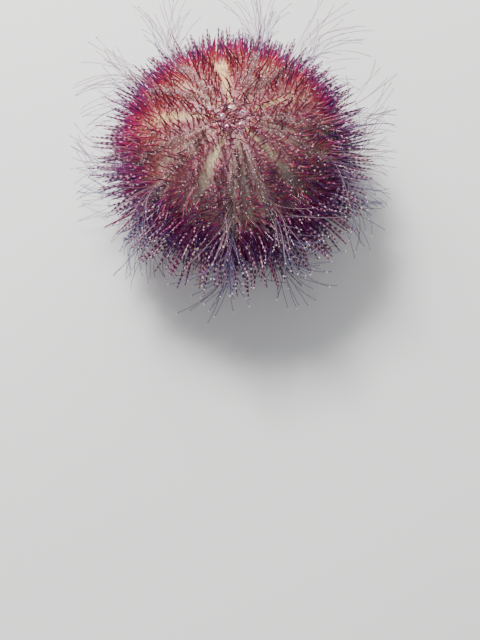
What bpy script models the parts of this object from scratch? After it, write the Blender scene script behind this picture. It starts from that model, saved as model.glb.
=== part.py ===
"""A bicoloured sea urchin at life size, mouth down, standing on the tips of its underside spines.

The rigid shell is a low dome turned round the vertical axis. It is divided, as in life, into
five narrow ambulacra and five wide interambulacra that run from the apical disc on top to the
membrane round the mouth. Every column carries its own spines, and the ambulacra also carry the
tube feet. Spines are short on top, longest just below the widest level, and stout underneath.

Metres, +Z up. The floor is at z = 0 and the origin is under the middle of the model's box.
Latitudes are degrees down from the top of the shell, and rises are degrees above the level.
"""

import math
import random
from dataclasses import dataclass

import bmesh
import bpy
import numpy as np
from mathutils import Matrix, Vector

MM = 0.001

# The shell
SHELL_RADIUS = 39.0 * MM
DOME_HEIGHT = 27.0 * MM
BELLY_HEIGHT = 19.0 * MM
BELLY_SQUARENESS = 2.5
MOUTH_SINK = 2.2 * MM
FLOOR_CLEARANCE = 8.5 * MM
WIDEST_LEVEL = FLOOR_CLEARANCE + BELLY_HEIGHT
SHELL_TOP = WIDEST_LEVEL + DOME_HEIGHT
STEPS_ROUND = 40
RINGS_DOWN = 15
OUTLINE_STEPS = 400

# The ten columns of the shell
COLUMN_PAIRS = 5
PAIR_ANGLE = 360.0 / COLUMN_PAIRS
AMBULACRUM_ANGLE = 27.0
INTERAMBULACRUM_ANGLE = PAIR_ANGLE - AMBULACRUM_ANGLE
FIRST_AMBULACRUM_AZIMUTH = 67.0
GAP = 0.3 * MM

# The apical disc, with the anal plates in its middle and five genital plates round them,
# of which the largest is the sieve plate
APICAL_RADIUS = 6.2 * MM
APICAL_DEPTH = 3.0 * MM
ANAL_RADIUS = 2.2 * MM
ANAL_DEPTH = 1.8 * MM
PLATE_SIDES = 6
PLATE_RADIUS = 1.45 * MM
PLATE_TOP = SHELL_TOP + 0.42 * MM
PLATE_DEPTH = 1.6 * MM
SIEVE_PLATE_RADIUS = 1.6 * MM
APICAL_SPINE_LENGTH = 4.2 * MM
APICAL_SPINE_WIDTH = 0.72 * MM
APICAL_SPINE_TURNS = (-8.0, 36.0)

# The mouth membrane, with the lantern's five teeth in its middle
MOUTH_RADIUS = 9.6 * MM
MOUTH_DEPTH = 3.0 * MM
MOUTH_TOP = FLOOR_CLEARANCE + MOUTH_SINK + MOUTH_DEPTH
LIP_RADIUS = 2.9 * MM
TOOTH_REACH = 2.1 * MM
TOOTH_WIDTH = 1.5 * MM
BUCCAL_FOOT_LENGTH = 2.4 * MM
BUCCAL_FOOT_WIDTH = 0.84 * MM
BUCCAL_FOOT_TURN = 9.0

# The spines, which stand square to the shell on top. Each pair is a latitude and the value there:
# the length in mm, the rise that the spine points at, and the width at its root in mm
SPINE_LENGTHS = ((8, 3.8), (22, 4.8), (45, 5.8), (62, 7.2), (76, 10.5), (88, 14.5), (102, 17.0),
                 (122, 17.0), (140, 14.0), (168, 7.0))
SPINE_RISES = ((8, 80), (22, 68), (45, 51), (62, 34), (76, 14), (90, -4), (106, -15), (122, -33),
               (140, -50), (168, -66))
SPINE_WIDTHS = ((8, 0.75), (45, 0.85), (76, 1.05), (102, 1.15), (140, 1.1), (168, 0.8))
SPINE_TIP_SHARE = 0.42
SPINE_SIDES = 4
SPINE_SINK = 1.3 * MM
SPINE_EDGE = 1.35 * MM
PORE_EDGE = 3.1 * MM
SPINE_JITTER = 5.0
LENGTH_VARIATION = 0.10
ROW_SPACING = 4.5 * MM
SPINE_SPACING = 4.8 * MM
FIRST_ROW_LATITUDE = 17.0
LAST_ROW_RADIUS = 12.3 * MM
STANDING_LATITUDE = 128.0
LOWEST_FREE_TIP = 2.0 * MM
BARE_BAND_END = 66.0
BARE_BAND_SHARE = 0.40
OFF_MIDDLE_SHARE = 0.6

# The tube feet, in two files on each ambulacrum. The rises are those at their roots, and their
# ends climb by a share of them. Short ones lie along the files on top, down the shell
TUBE_FOOT_RISES = ((45, 41), (62, 26), (76, 19), (90, 14), (106, 5), (122, -13))
TUBE_FOOT_CLIMB = 0.6
TUBE_FOOT_WANDER = 3.0 * MM
TUBE_FOOT_LEAN = 4.0
TUBE_FOOT_RADIUS = 0.34 * MM
SUCKER_RADIUS = 0.55 * MM
SUCKER_THICKNESS = 0.4 * MM
TUBE_FOOT_POINTS = 5
TUBE_FOOT_LATITUDES = (50.0, 66.0, 80.0, 94.0, 110.0)
TUBE_FOOT_EDGE = 1.4 * MM
TUBE_FOOT_REACH = 63.5 * MM
TUBE_FOOT_REACH_SHARES = (0.82, 1.0)
TUBE_FOOT_BEND = 0.55
TUBE_FOOT_SPLAY = (-3.0, 12.0)
FOOT_STEPS = (0.618, 0.755, 0.570)
ATTEMPT_STEP = 0.37
SHORT_FOOT_LATITUDES = (26.0, 38.0, 52.0)
SHORT_FOOT_TURNS = (-3.0, 5.0)
SHORT_FOOT_DROPS = (7.0, 10.0)
SHORT_FOOT_LIFTS = (1.8 * MM, 2.6 * MM)
SHORT_FOOT_POINTS = 3

CLEAR_DISTANCE = 0.4 * MM
TRIES = 16
SEED = 17

# Base colour and roughness of each kind of part
FINISHES = {
    "interambulacrum": ((0.58, 0.36, 0.33), 0.55),
    "ambulacrum": ((0.50, 0.22, 0.28), 0.50),
    "apical_disc": ((0.45, 0.16, 0.18), 0.50),
    "sieve_plate": ((0.62, 0.45, 0.42), 0.50),
    "anal_plates": ((0.36, 0.22, 0.30), 0.45),
    "mouth_membrane": ((0.44, 0.32, 0.33), 0.50),
    "lantern_teeth": ((0.86, 0.82, 0.72), 0.35),
}


@dataclass
class Column:
    """One of the ten columns of the shell: its solid, and the collection of what grows on it."""

    name: str
    kind: str
    azimuth: float
    angle: float
    solid: bpy.types.Object
    growth: bpy.types.Collection


class Thicket:
    """The rods and tubes placed so far, as straight lengths with a radius, to keep others clear."""

    def __init__(self):
        self.starts = np.zeros((0, 3))
        self.ends = np.zeros((0, 3))
        self.radii = np.zeros(0)

    def room(self, points, radius):
        """The least free distance between a new line of points and everything placed."""
        least = math.inf
        if len(self.radii):
            for start, end in zip(points[:-1], points[1:]):
                spans = distances(np.array(start), np.array(end), self.starts, self.ends)
                least = min(least, float((spans - self.radii - radius).min()))
        return least

    def add(self, points, radius):
        line = np.array([tuple(point) for point in points])
        self.starts = np.concatenate([self.starts, line[:-1]])
        self.ends = np.concatenate([self.ends, line[1:]])
        self.radii = np.concatenate([self.radii, np.full(len(line) - 1, radius)])


def distances(start, end, starts, ends):
    """How far one straight length is from each of many, from points spread along both."""
    along = np.linspace(0.0, 1.0, 13)
    ray, rays = end - start, ends - starts
    mine = start + ray * along[:, None]
    theirs = starts[:, None, :] + rays[:, None, :] * along[:, None]
    apart = mine[None] - starts[:, None, :]
    shares = np.clip(np.einsum("nmk,nk->nm", apart, rays) / (rays**2).sum(1)[:, None], 0.0, 1.0)
    one_way = np.linalg.norm(apart - rays[:, None, :] * shares[:, :, None], axis=2).min(1)
    shares = np.clip(((theirs - start) @ ray) / float(ray @ ray), 0.0, 1.0)
    other_way = np.linalg.norm(start + shares[:, :, None] * ray - theirs, axis=2).min(1)
    return np.minimum(one_way, other_way)


def remove_everything():
    for thing in list(bpy.data.objects):
        bpy.data.objects.remove(thing, do_unlink=True)


def new_collection(name):
    made = bpy.data.collections.new(name)
    bpy.context.scene.collection.children.link(made)
    return made


def new_material(name):
    colour, roughness = FINISHES[name]
    made = bpy.data.materials.new(name)
    made.use_nodes = True
    shader = made.node_tree.nodes["Principled BSDF"]
    shader.inputs["Base Color"].default_value = (*colour, 1.0)
    shader.inputs["Roughness"].default_value = roughness
    shader.inputs["Metallic"].default_value = 0.0
    return made


def value_at(pairs, latitude):
    """The value at a latitude, on straight lines between the pairs."""
    return float(np.interp(latitude, [pair[0] for pair in pairs], [pair[1] for pair in pairs]))


def shell_point(latitude):
    """The shell's radius and height: an ellipse above the widest level, a squarer curve below.

    Below, (r / R)^n + (z / H)^n = 1 with n the squareness, and the middle rises to the mouth.
    """
    sine = max(0.0, math.sin(math.radians(latitude)))
    cosine = math.cos(math.radians(latitude))
    if cosine >= 0:
        return SHELL_RADIUS * sine, WIDEST_LEVEL + DOME_HEIGHT * cosine
    power = 2.0 / BELLY_SQUARENESS
    radius = SHELL_RADIUS * sine**power
    height = WIDEST_LEVEL - BELLY_HEIGHT * (-cosine) ** power
    inward = min(1.0, max(0.0, 2.0 - radius / MOUTH_RADIUS))
    return radius, height + MOUTH_SINK * inward * inward


def outline(first, last):
    """Latitudes in even steps, and how far down the shell's outline each of them is."""
    latitudes = np.linspace(first, last, OUTLINE_STEPS)
    points = np.array([shell_point(latitude) for latitude in latitudes])
    strides = np.hypot(*np.diff(points, axis=0).T)
    return latitudes, np.concatenate([[0.0], np.cumsum(strides)])


def even_latitudes(first, last, count):
    """Latitudes the same distance apart along the shell's outline, both ends included."""
    latitudes, travelled = outline(first, last)
    return np.interp(np.linspace(0.0, travelled[-1], count), travelled, latitudes)


def latitude_below(radius):
    """The latitude on the underside where the shell has this radius."""
    latitudes = np.linspace(90.0, 180.0, OUTLINE_STEPS)
    radii = [-shell_point(latitude)[0] for latitude in latitudes]
    return float(np.interp(-radius, radii, latitudes))


def heading(azimuth, rise=0.0):
    """The unit vector at an azimuth and a rise."""
    turn, lift = math.radians(azimuth), math.radians(rise)
    level = math.cos(lift)
    return Vector((math.cos(turn) * level, math.sin(turn) * level, math.sin(lift)))


def spot(radius, azimuth, height):
    return heading(azimuth) * radius + Vector((0.0, 0.0, height))


def on_shell(latitude, azimuth):
    radius, height = shell_point(latitude)
    return spot(radius, azimuth, height)


def new_object(name, shape, collection):
    """Puts a bmesh in a new object, and frees it."""
    mesh = bpy.data.meshes.new(name)
    shape.to_mesh(mesh)
    shape.free()
    thing = bpy.data.objects.new(name, mesh)
    collection.objects.link(thing)
    return thing


def cleaned(thing, collection):
    """A new mesh object of an object's evaluated shape, with doubles merged. The first goes."""
    name = thing.name
    graph = bpy.context.evaluated_depsgraph_get()
    mesh = bpy.data.meshes.new_from_object(thing.evaluated_get(graph))
    shape = bmesh.new()
    shape.from_mesh(mesh)
    shape.transform(thing.matrix_world)
    bmesh.ops.remove_doubles(shape, verts=shape.verts, dist=0.002 * MM)
    bmesh.ops.recalc_face_normals(shape, faces=shape.faces)
    bpy.data.objects.remove(thing, do_unlink=True)
    bpy.data.meshes.remove(mesh)
    return new_object(name, shape, collection)


def turned(name, profile, steps, collection, material=None):
    """A profile of (radius, height) pairs, top to bottom, turned right round the axis."""
    mesh = bpy.data.meshes.new(name)
    edges = [(i, i + 1) for i in range(len(profile) - 1)]
    mesh.from_pydata([(radius, 0.0, height) for radius, height in profile], edges, [])
    thing = bpy.data.objects.new(name, mesh)
    collection.objects.link(thing)
    screw = thing.modifiers.new("Turned", "SCREW")
    screw.steps = screw.render_steps = steps
    screw.use_merge_vertices = True
    screw.merge_threshold = 0.01 * MM
    solid = cleaned(thing, collection)
    solid.name = name
    if material:
        solid.data.materials.append(material)
    return solid


def prism(name, corners, low, high, collection):
    """A flat outline of (x, y) corners, raised from one height to another."""
    shape = bmesh.new()
    base = shape.faces.new([shape.verts.new((x, y, low)) for x, y in corners])
    raised = bmesh.ops.extrude_face_region(shape, geom=[base])
    top = [item for item in raised["geom"] if isinstance(item, bmesh.types.BMVert)]
    bmesh.ops.translate(shape, verts=top, vec=(0.0, 0.0, high - low))
    bmesh.ops.recalc_face_normals(shape, faces=shape.faces)
    return new_object(name, shape, collection)


def round_prism(name, centre, radius, sides, low, high, collection):
    """A prism of a regular outline round a centre."""
    turns = [360.0 * (i + 0.5) / sides for i in range(sides)]
    corners = [(centre + heading(turn) * radius).xy for turn in turns]
    return prism(name, corners, low, high, collection)


def rod(name, root, direction, length, width, tip_width, sides, collection):
    """A tapered rod with a flat tip, its root sunk below the surface."""
    shape = bmesh.new()
    bmesh.ops.create_cone(shape, cap_ends=True, segments=sides, radius1=width / 2.0,
                          radius2=tip_width / 2.0, depth=length + SPINE_SINK)
    middle = root + direction * (length - SPINE_SINK) / 2.0
    turn = direction.to_track_quat("Z", "Y").to_matrix().to_4x4()
    shape.transform(Matrix.Translation(middle) @ turn)
    return new_object(name, shape, collection)


def tube(name, points, widths, collection):
    """A closed four-sided tube through the points, each with its share of the foot's radius."""
    curve = bpy.data.curves.new(name, "CURVE")
    curve.dimensions = "3D"
    curve.bevel_depth = TUBE_FOOT_RADIUS
    curve.bevel_resolution = 0
    curve.use_fill_caps = True
    line = curve.splines.new("POLY")
    line.points.add(len(points) - 1)
    for place, point, width in zip(line.points, points, widths):
        place.co = (*point, 1.0)
        place.radius = width
    route = bpy.data.objects.new(name, curve)
    collection.objects.link(route)
    return cleaned(route, collection)


def combine(thing, operation, other=None, collection=None):
    """Applies one Boolean with another object, or with every object of a collection."""
    modifier = thing.modifiers.new(operation.title(), "BOOLEAN")
    modifier.operation = operation
    modifier.solver = "MANIFOLD"
    if collection:
        modifier.operand_type = "COLLECTION"
        modifier.collection = collection
    else:
        modifier.object = other
    graph = bpy.context.evaluated_depsgraph_get()
    mesh = bpy.data.meshes.new_from_object(thing.evaluated_get(graph))
    thing.modifiers.clear()
    thing.data = mesh


def keep_largest_body(thing):
    """Drops every closed surface of a mesh but the one with the most corners."""
    shape = bmesh.new()
    shape.from_mesh(thing.data)
    left, bodies = set(shape.verts), []
    while left:
        start = left.pop()
        body, fringe = {start}, [start]
        while fringe:
            vert = fringe.pop()
            near = {edge.other_vert(vert) for edge in vert.link_edges} & left
            left -= near
            body |= near
            fringe.extend(near)
        bodies.append(body)
    bodies.sort(key=len)
    loose = [vert for body in bodies[:-1] for vert in body]
    bmesh.ops.delete(shape, geom=loose, context="VERTS")
    shape.to_mesh(thing.data)
    shape.free()


def finish_solid(thing, growth, cutter):
    """Fuses what grows on a solid into it, and cuts away what the cutter takes, such as what would
    reach below the floor."""
    if growth:
        combine(thing, "UNION", collection=growth)
        for piece in list(growth.objects):
            bpy.data.objects.remove(piece, do_unlink=True)
        bpy.data.collections.remove(growth)
    combine(thing, "DIFFERENCE", cutter)
    keep_largest_body(thing)
    thing.data.shade_smooth()
    thing.data.set_sharp_from_angle(angle=math.radians(40.0))


def column_solid(name, azimuth, angle, model, cutters, material):
    """One column, cut from the turned shell with half a gap off each of its flat sides."""
    profile = [shell_point(latitude) for latitude in even_latitudes(0.0, 180.0, RINGS_DOWN + 1)]
    profile[-1] = (0.0, profile[-1][1])
    solid = turned(name, profile, STEPS_ROUND, model, material)
    half = angle / 2.0
    inner = heading(0.0) * (GAP / 2.0) / math.sin(math.radians(half))
    outer = [inner + heading(side * half) * 3.0 * SHELL_RADIUS for side in (-1, 1)]
    slice_cutter = prism(name + "_slice", [point.xy for point in (inner, *outer)], 0.0,
                         2.0 * SHELL_TOP, cutters)
    combine(solid, "INTERSECT", slice_cutter)
    origin = Vector((0.0, 0.0, 0.0))
    apical_hole = round_prism(name + "_apical_hole", origin, APICAL_RADIUS + GAP, STEPS_ROUND,
                              SHELL_TOP - APICAL_DEPTH - GAP, 2.0 * SHELL_TOP, cutters)
    combine(solid, "DIFFERENCE", apical_hole)
    mouth_hole = round_prism(name + "_mouth_hole", origin, MOUTH_RADIUS + GAP, STEPS_ROUND,
                             -SHELL_TOP, MOUTH_TOP + GAP, cutters)
    combine(solid, "DIFFERENCE", mouth_hole)
    solid.data.transform(Matrix.Rotation(math.radians(azimuth), 4, "Z"))
    return solid


def foot_shares(number, attempt):
    """Three shares from 0 to 1 that differ from foot to foot but are spread evenly over them all."""
    return [(number * step + attempt * ATTEMPT_STEP) % 1.0 for step in FOOT_STEPS]


def between(limits, share):
    return limits[0] + (limits[1] - limits[0]) * share


def tube_foot_route(latitude, azimuth, side, shares):
    """Points along a tube foot: out and a little up from its root, then bending level.

    They lie on the curve root * (1 - t)^2 + bend * 2t (1 - t) + far * t^2.
    """
    root = on_shell(latitude, azimuth)
    rise = value_at(TUBE_FOOT_RISES, latitude)
    reach = TUBE_FOOT_REACH * between(TUBE_FOOT_REACH_SHARES, shares[0])
    far = spot(reach, azimuth + side * between(TUBE_FOOT_SPLAY, shares[1]), 0.0)
    climb = (reach - root.xy.length) * math.tan(math.radians(TUBE_FOOT_CLIMB * rise))
    far.z = max(LOWEST_FREE_TIP, root.z + climb + between((-1.0, 1.0), shares[2]) * TUBE_FOOT_WANDER)
    way = heading(azimuth + side * TUBE_FOOT_LEAN, rise)
    bend = root + way * TUBE_FOOT_BEND * (far - root).length
    steps = np.linspace(0.0, 1.0, TUBE_FOOT_POINTS)
    return [root * (1 - t) ** 2 + bend * 2 * t * (1 - t) + far * t * t for t in steps]


def short_foot_route(latitude, azimuth, side, shares):
    """Points along a short tube foot, which follows the shell down and lifts off it as it goes."""
    drop, lift = between(SHORT_FOOT_DROPS, shares[0]), between(SHORT_FOOT_LIFTS, shares[2])
    turn = side * between(SHORT_FOOT_TURNS, shares[1])
    out = heading(azimuth, value_at(SPINE_RISES, latitude))
    return [on_shell(latitude + drop * t, azimuth + turn * t) + out * lift * math.sqrt(t)
            for t in np.linspace(0.0, 1.0, SHORT_FOOT_POINTS)]


def grow_tube_foot(name, route, latitude, azimuth, side, number, growth, thicket):
    """One tube foot and its sucker, where a clear route is found."""
    for attempt in range(TRIES):
        points = route(latitude, azimuth, side, foot_shares(number, attempt))
        clear_start = points[0].lerp(points[1], 0.1)
        if thicket.room([clear_start, *points[1:]], SUCKER_RADIUS) > CLEAR_DISTANCE:
            break
    else:
        return
    thicket.add(points, SUCKER_RADIUS)
    sunk = points[0] - (points[1] - points[0]).normalized() * SPINE_SINK
    last = (points[-1] - points[-2]).normalized()
    sucker = [points[-1] + last * 0.05 * MM, points[-1] + last * SUCKER_THICKNESS]
    widths = [1.2, *np.linspace(1.15, 0.95, len(points))]
    widths += [SUCKER_RADIUS / TUBE_FOOT_RADIUS] * len(sucker)
    tube(name, [sunk, *points, *sucker], widths, growth)


def grow_tube_feet(column, first_file, thicket):
    """The two files of tube feet, near the edges of an ambulacrum."""
    for kind, route, latitudes in (("foot", tube_foot_route, TUBE_FOOT_LATITUDES),
                                   ("short_foot", short_foot_route, SHORT_FOOT_LATITUDES)):
        for file, side in ((first_file, -1), (first_file + 1, 1)):
            for i, latitude in enumerate(latitudes):
                turn = column.angle / 2.0 - math.degrees(TUBE_FOOT_EDGE / shell_point(latitude)[0])
                grow_tube_foot(f"{column.name}_{kind}_{side}_{i}", route, latitude,
                               column.azimuth + side * turn, side, file * len(latitudes) + i,
                               column.growth, thicket)


def spine_turns(latitude, row, column):
    """How far each spine of a row stands off the column's middle, in degrees.

    The spines are evenly spaced, one more in every other row. High up they leave the middle of an
    interambulacrum and the two files of pores of an ambulacrum bare.
    """
    radius = shell_point(latitude)[0]
    on_pores = column.kind == "ambulacrum" and latitude < BARE_BAND_END
    edge = PORE_EDGE if on_pores else SPINE_EDGE
    half = max(0.0, column.angle / 2.0 - math.degrees(edge / radius))
    width = 2.0 * math.radians(half) * radius
    count = max(1, round(width / SPINE_SPACING) + row % 2)
    shares = np.linspace(-1.0, 1.0, count) if count > 1 else [OFF_MIDDLE_SHARE * (-1) ** row]
    if column.kind == "interambulacrum" and latitude < BARE_BAND_END:
        shares = [math.copysign(max(abs(share), BARE_BAND_SHARE), share)
                  for share in shares if abs(share) > 0.01]
    return [share * half for share in shares]


def grow_spine(name, latitude, azimuth, growth, thicket, draw):
    """One spine, turned until it stands clear of all that is placed. Low ones stand on the floor.

    A standing spine is made long enough to pass through the floor, where it is trimmed flat.
    """
    root = on_shell(latitude, azimuth)
    width = value_at(SPINE_WIDTHS, latitude) * MM
    usual_length = value_at(SPINE_LENGTHS, latitude) * MM
    usual_rise = value_at(SPINE_RISES, latitude)
    for turn in range(TRIES):
        jitter = SPINE_JITTER * (1.0 + turn / 4.0)
        length = usual_length * (1.0 + draw.uniform(-1, 1) * LENGTH_VARIATION)
        side = azimuth + draw.uniform(-1, 1) * jitter
        rise = usual_rise + draw.uniform(-1, 1) * jitter
        drop = -math.sin(math.radians(rise))
        if root.z - length * drop < CLEAR_DISTANCE and latitude > STANDING_LATITUDE:
            length = (root.z + 2.0 * SPINE_SINK) / drop
        elif root.z - length * drop < LOWEST_FREE_TIP:
            rise = -math.degrees(math.asin((root.z - LOWEST_FREE_TIP) / length))
        direction = heading(side, rise)
        line = [root + direction * 0.5 * MM, root + direction * length]
        if thicket.room(line, width / 2.0) > CLEAR_DISTANCE:
            thicket.add(line, width / 2.0)
            rod(name, root, direction, length, width, width * SPINE_TIP_SHARE, SPINE_SIDES, growth)
            return


def grow_spines(column, thicket, draw):
    first, last = FIRST_ROW_LATITUDE, latitude_below(LAST_ROW_RADIUS)
    length = outline(first, last)[1][-1]
    for row, latitude in enumerate(even_latitudes(first, last, round(length / ROW_SPACING) + 1)):
        for i, turn in enumerate(spine_turns(latitude, row, column)):
            grow_spine(f"{column.name}_spine_{row}_{i}", latitude, column.azimuth + turn,
                       column.growth, thicket, draw)


def apical_disc(model, cutters, floor, thicket):
    """The disc on top, with raised plates, a few short spines and a pocket for the sieve plate."""
    low = SHELL_TOP - APICAL_DEPTH
    hole = ANAL_RADIUS + GAP
    profile = [(hole, SHELL_TOP + 0.2 * MM), (APICAL_RADIUS * 0.7, SHELL_TOP - 0.05 * MM),
               (APICAL_RADIUS, SHELL_TOP - 0.55 * MM), (APICAL_RADIUS, low), (0.0, low),
               (0.0, SHELL_TOP - ANAL_DEPTH), (hole, SHELL_TOP - ANAL_DEPTH),
               (hole, SHELL_TOP + 0.2 * MM)]
    disc = turned("apical_disc", profile, STEPS_ROUND // 2, model, new_material("apical_disc"))
    growth = new_collection("apical_growth")
    ring = (APICAL_RADIUS + ANAL_RADIUS) / 2.0
    for i in range(COLUMN_PAIRS):
        azimuth = FIRST_AMBULACRUM_AZIMUTH + PAIR_ANGLE * (i + 0.5)
        centre = spot(ring, azimuth, 0.0)
        if i == 0:
            pocket = round_prism("sieve_pocket", centre, SIEVE_PLATE_RADIUS + GAP, PLATE_SIDES,
                                 PLATE_TOP - PLATE_DEPTH - GAP, 2.0 * SHELL_TOP, cutters)
            sieve = round_prism("sieve_plate", centre, SIEVE_PLATE_RADIUS, PLATE_SIDES,
                                PLATE_TOP - PLATE_DEPTH, PLATE_TOP, model)
            sieve.data.materials.append(new_material("sieve_plate"))
            finish_solid(sieve, None, floor)
        else:
            round_prism(f"genital_plate_{i}", centre, PLATE_RADIUS, PLATE_SIDES,
                        PLATE_TOP - PLATE_DEPTH, PLATE_TOP, growth)
        for turn in APICAL_SPINE_TURNS:
            root = spot(ring * 1.12, azimuth + PAIR_ANGLE / 2.0 - turn / 2.0, SHELL_TOP - 0.1 * MM)
            direction = heading(azimuth + PAIR_ANGLE / 2.0 + turn, 60.0)
            rod(f"apical_spine_{i}_{turn}", root, direction, APICAL_SPINE_LENGTH,
                APICAL_SPINE_WIDTH, APICAL_SPINE_WIDTH * SPINE_TIP_SHARE, SPINE_SIDES, growth)
            thicket.add([root, root + direction * APICAL_SPINE_LENGTH], APICAL_SPINE_WIDTH / 2.0)
    finish_solid(disc, growth, pocket)


def anal_plates(model, floor):
    """The middle of the apical disc: a low cushion of small plates round the anus."""
    low = SHELL_TOP - ANAL_DEPTH + GAP
    profile = [(0.0, SHELL_TOP + 0.25 * MM), (0.5 * MM, SHELL_TOP + 0.95 * MM),
               (0.95 * MM, SHELL_TOP + 0.9 * MM), (1.7 * MM, SHELL_TOP + 0.35 * MM),
               (ANAL_RADIUS, SHELL_TOP - 0.15 * MM), (ANAL_RADIUS, low), (0.0, low)]
    solid = turned("anal_plates", profile, STEPS_ROUND // 2, model, new_material("anal_plates"))
    finish_solid(solid, None, floor)


def mouth_membrane(model, floor):
    """The soft skin round the mouth, sagging to a lip, with short buccal feet in pairs."""
    rim = shell_point(latitude_below(MOUTH_RADIUS))[1] + 0.2 * MM
    sag = rim - 0.5 * MM
    lip = rim - 1.5 * MM
    hole = LIP_RADIUS + GAP
    profile = [(hole, MOUTH_TOP), (MOUTH_RADIUS, MOUTH_TOP), (MOUTH_RADIUS, rim),
               (MOUTH_RADIUS * 0.8, sag), (MOUTH_RADIUS * 0.55, sag), (hole + 0.9 * MM, lip),
               (hole, lip + 0.2 * MM), (hole, MOUTH_TOP)]
    skin = turned("mouth_membrane", profile, 24, model, new_material("mouth_membrane"))
    growth = new_collection("mouth_growth")
    for i in range(COLUMN_PAIRS):
        for side in (-1, 1):
            azimuth = FIRST_AMBULACRUM_AZIMUTH + PAIR_ANGLE * i + side * BUCCAL_FOOT_TURN
            rod(f"buccal_foot_{i}_{side}", spot(MOUTH_RADIUS * 0.68, azimuth, sag),
                heading(azimuth, -70.0), BUCCAL_FOOT_LENGTH, BUCCAL_FOOT_WIDTH,
                BUCCAL_FOOT_WIDTH * 1.3, PLATE_SIDES, growth)
    finish_solid(skin, growth, floor)


def lantern_teeth(model, floor):
    """The middle of the mouth: five hard teeth that lean together to a point."""
    low = shell_point(latitude_below(MOUTH_RADIUS))[1] - 0.9 * MM
    profile = [(0.0, MOUTH_TOP), (LIP_RADIUS, MOUTH_TOP), (LIP_RADIUS, low + 0.5 * MM),
               (LIP_RADIUS * 0.75, low), (0.0, low + 0.2 * MM)]
    base = turned("lantern_teeth", profile, 20, model, new_material("lantern_teeth"))
    growth = new_collection("teeth_growth")
    for i in range(COLUMN_PAIRS):
        azimuth = FIRST_AMBULACRUM_AZIMUTH + PAIR_ANGLE * (i + 0.5)
        root = spot(1.55 * MM, azimuth, low + 0.3 * MM)
        ray = spot(0.42 * MM, azimuth, low - TOOTH_REACH) - root
        rod(f"tooth_{i}", root, ray.normalized(), ray.length, TOOTH_WIDTH, TOOTH_WIDTH * 0.4,
            SPINE_SIDES, growth)
    finish_solid(base, growth, floor)


def centre_on_origin(model):
    """Moves every node so that the middle of the model's box is over the origin."""
    points = np.array([tuple(v.co) for thing in model.objects for v in thing.data.vertices])
    middle = (points.min(0) + points.max(0)) / 2.0
    for thing in model.objects:
        thing.data.transform(Matrix.Translation((-middle[0], -middle[1], 0.0)))


def build():
    remove_everything()
    model, cutters = new_collection("sea_urchin"), new_collection("cutters")
    floor = round_prism("floor", Vector((0.0, 0.0, 0.0)), 4.0 * SHELL_RADIUS, 8, -SHELL_TOP, 0.0,
                        cutters)
    thicket, draw = Thicket(), random.Random(SEED)
    apical_disc(model, cutters, floor, thicket)
    anal_plates(model, floor)
    mouth_membrane(model, floor)
    lantern_teeth(model, floor)
    columns = []
    for kind, angle, offset in (("ambulacrum", AMBULACRUM_ANGLE, 0.0),
                                ("interambulacrum", INTERAMBULACRUM_ANGLE, 0.5)):
        material = new_material(kind)
        for i in range(COLUMN_PAIRS):
            name = f"{kind}_{i + 1}"
            azimuth = FIRST_AMBULACRUM_AZIMUTH + PAIR_ANGLE * (i + offset)
            solid = column_solid(name, azimuth, angle, model, cutters, material)
            columns.append(Column(name, kind, azimuth, angle, solid, new_collection(name + "_growth")))
    for i, column in enumerate(columns[:COLUMN_PAIRS]):
        grow_tube_feet(column, 2 * i, thicket)
    for column in columns:
        grow_spines(column, thicket, draw)
        finish_solid(column.solid, column.growth, floor)
    for cutter in cutters.objects:
        cutter.hide_render = True
        cutter.display_type = "WIRE"
    centre_on_origin(model)


build()
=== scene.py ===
import math

import bpy
import numpy as np
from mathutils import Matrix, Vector


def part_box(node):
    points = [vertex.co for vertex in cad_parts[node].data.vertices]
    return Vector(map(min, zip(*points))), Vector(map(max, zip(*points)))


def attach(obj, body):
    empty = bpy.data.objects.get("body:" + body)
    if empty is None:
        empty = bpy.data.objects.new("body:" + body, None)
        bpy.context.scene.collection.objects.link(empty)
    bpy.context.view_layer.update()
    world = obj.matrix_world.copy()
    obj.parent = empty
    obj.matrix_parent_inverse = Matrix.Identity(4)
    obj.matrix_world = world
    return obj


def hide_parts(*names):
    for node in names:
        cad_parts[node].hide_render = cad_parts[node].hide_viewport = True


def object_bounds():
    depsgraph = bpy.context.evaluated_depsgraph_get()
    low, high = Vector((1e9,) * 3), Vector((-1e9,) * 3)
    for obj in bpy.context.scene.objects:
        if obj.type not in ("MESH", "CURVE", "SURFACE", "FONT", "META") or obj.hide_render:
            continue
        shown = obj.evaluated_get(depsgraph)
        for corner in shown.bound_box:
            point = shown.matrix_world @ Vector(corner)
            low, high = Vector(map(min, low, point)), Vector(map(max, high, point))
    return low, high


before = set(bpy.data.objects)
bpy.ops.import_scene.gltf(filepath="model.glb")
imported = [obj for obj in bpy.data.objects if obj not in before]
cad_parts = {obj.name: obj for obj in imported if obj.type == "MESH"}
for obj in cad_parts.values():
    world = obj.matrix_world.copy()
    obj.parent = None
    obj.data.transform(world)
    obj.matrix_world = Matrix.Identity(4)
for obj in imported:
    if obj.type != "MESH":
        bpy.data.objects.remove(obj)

CAD_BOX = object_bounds()

# The rigid shell. A hollow globe of limy plates under a thin living skin, low and flattened
# below. Growth lines run between the plates, and every spine turns on a small boss. It is one
# surface here, in place of the ten wedges of the frame.

MM = 0.001
WEDGES = [f"{kind}_{i}" for kind in ("ambulacrum", "interambulacrum") for i in range(1, 6)]
AXIS = (Vector(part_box("anal_plates")[0]) + Vector(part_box("anal_plates")[1])) / 2.0
AXIS.z = 0.0

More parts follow.
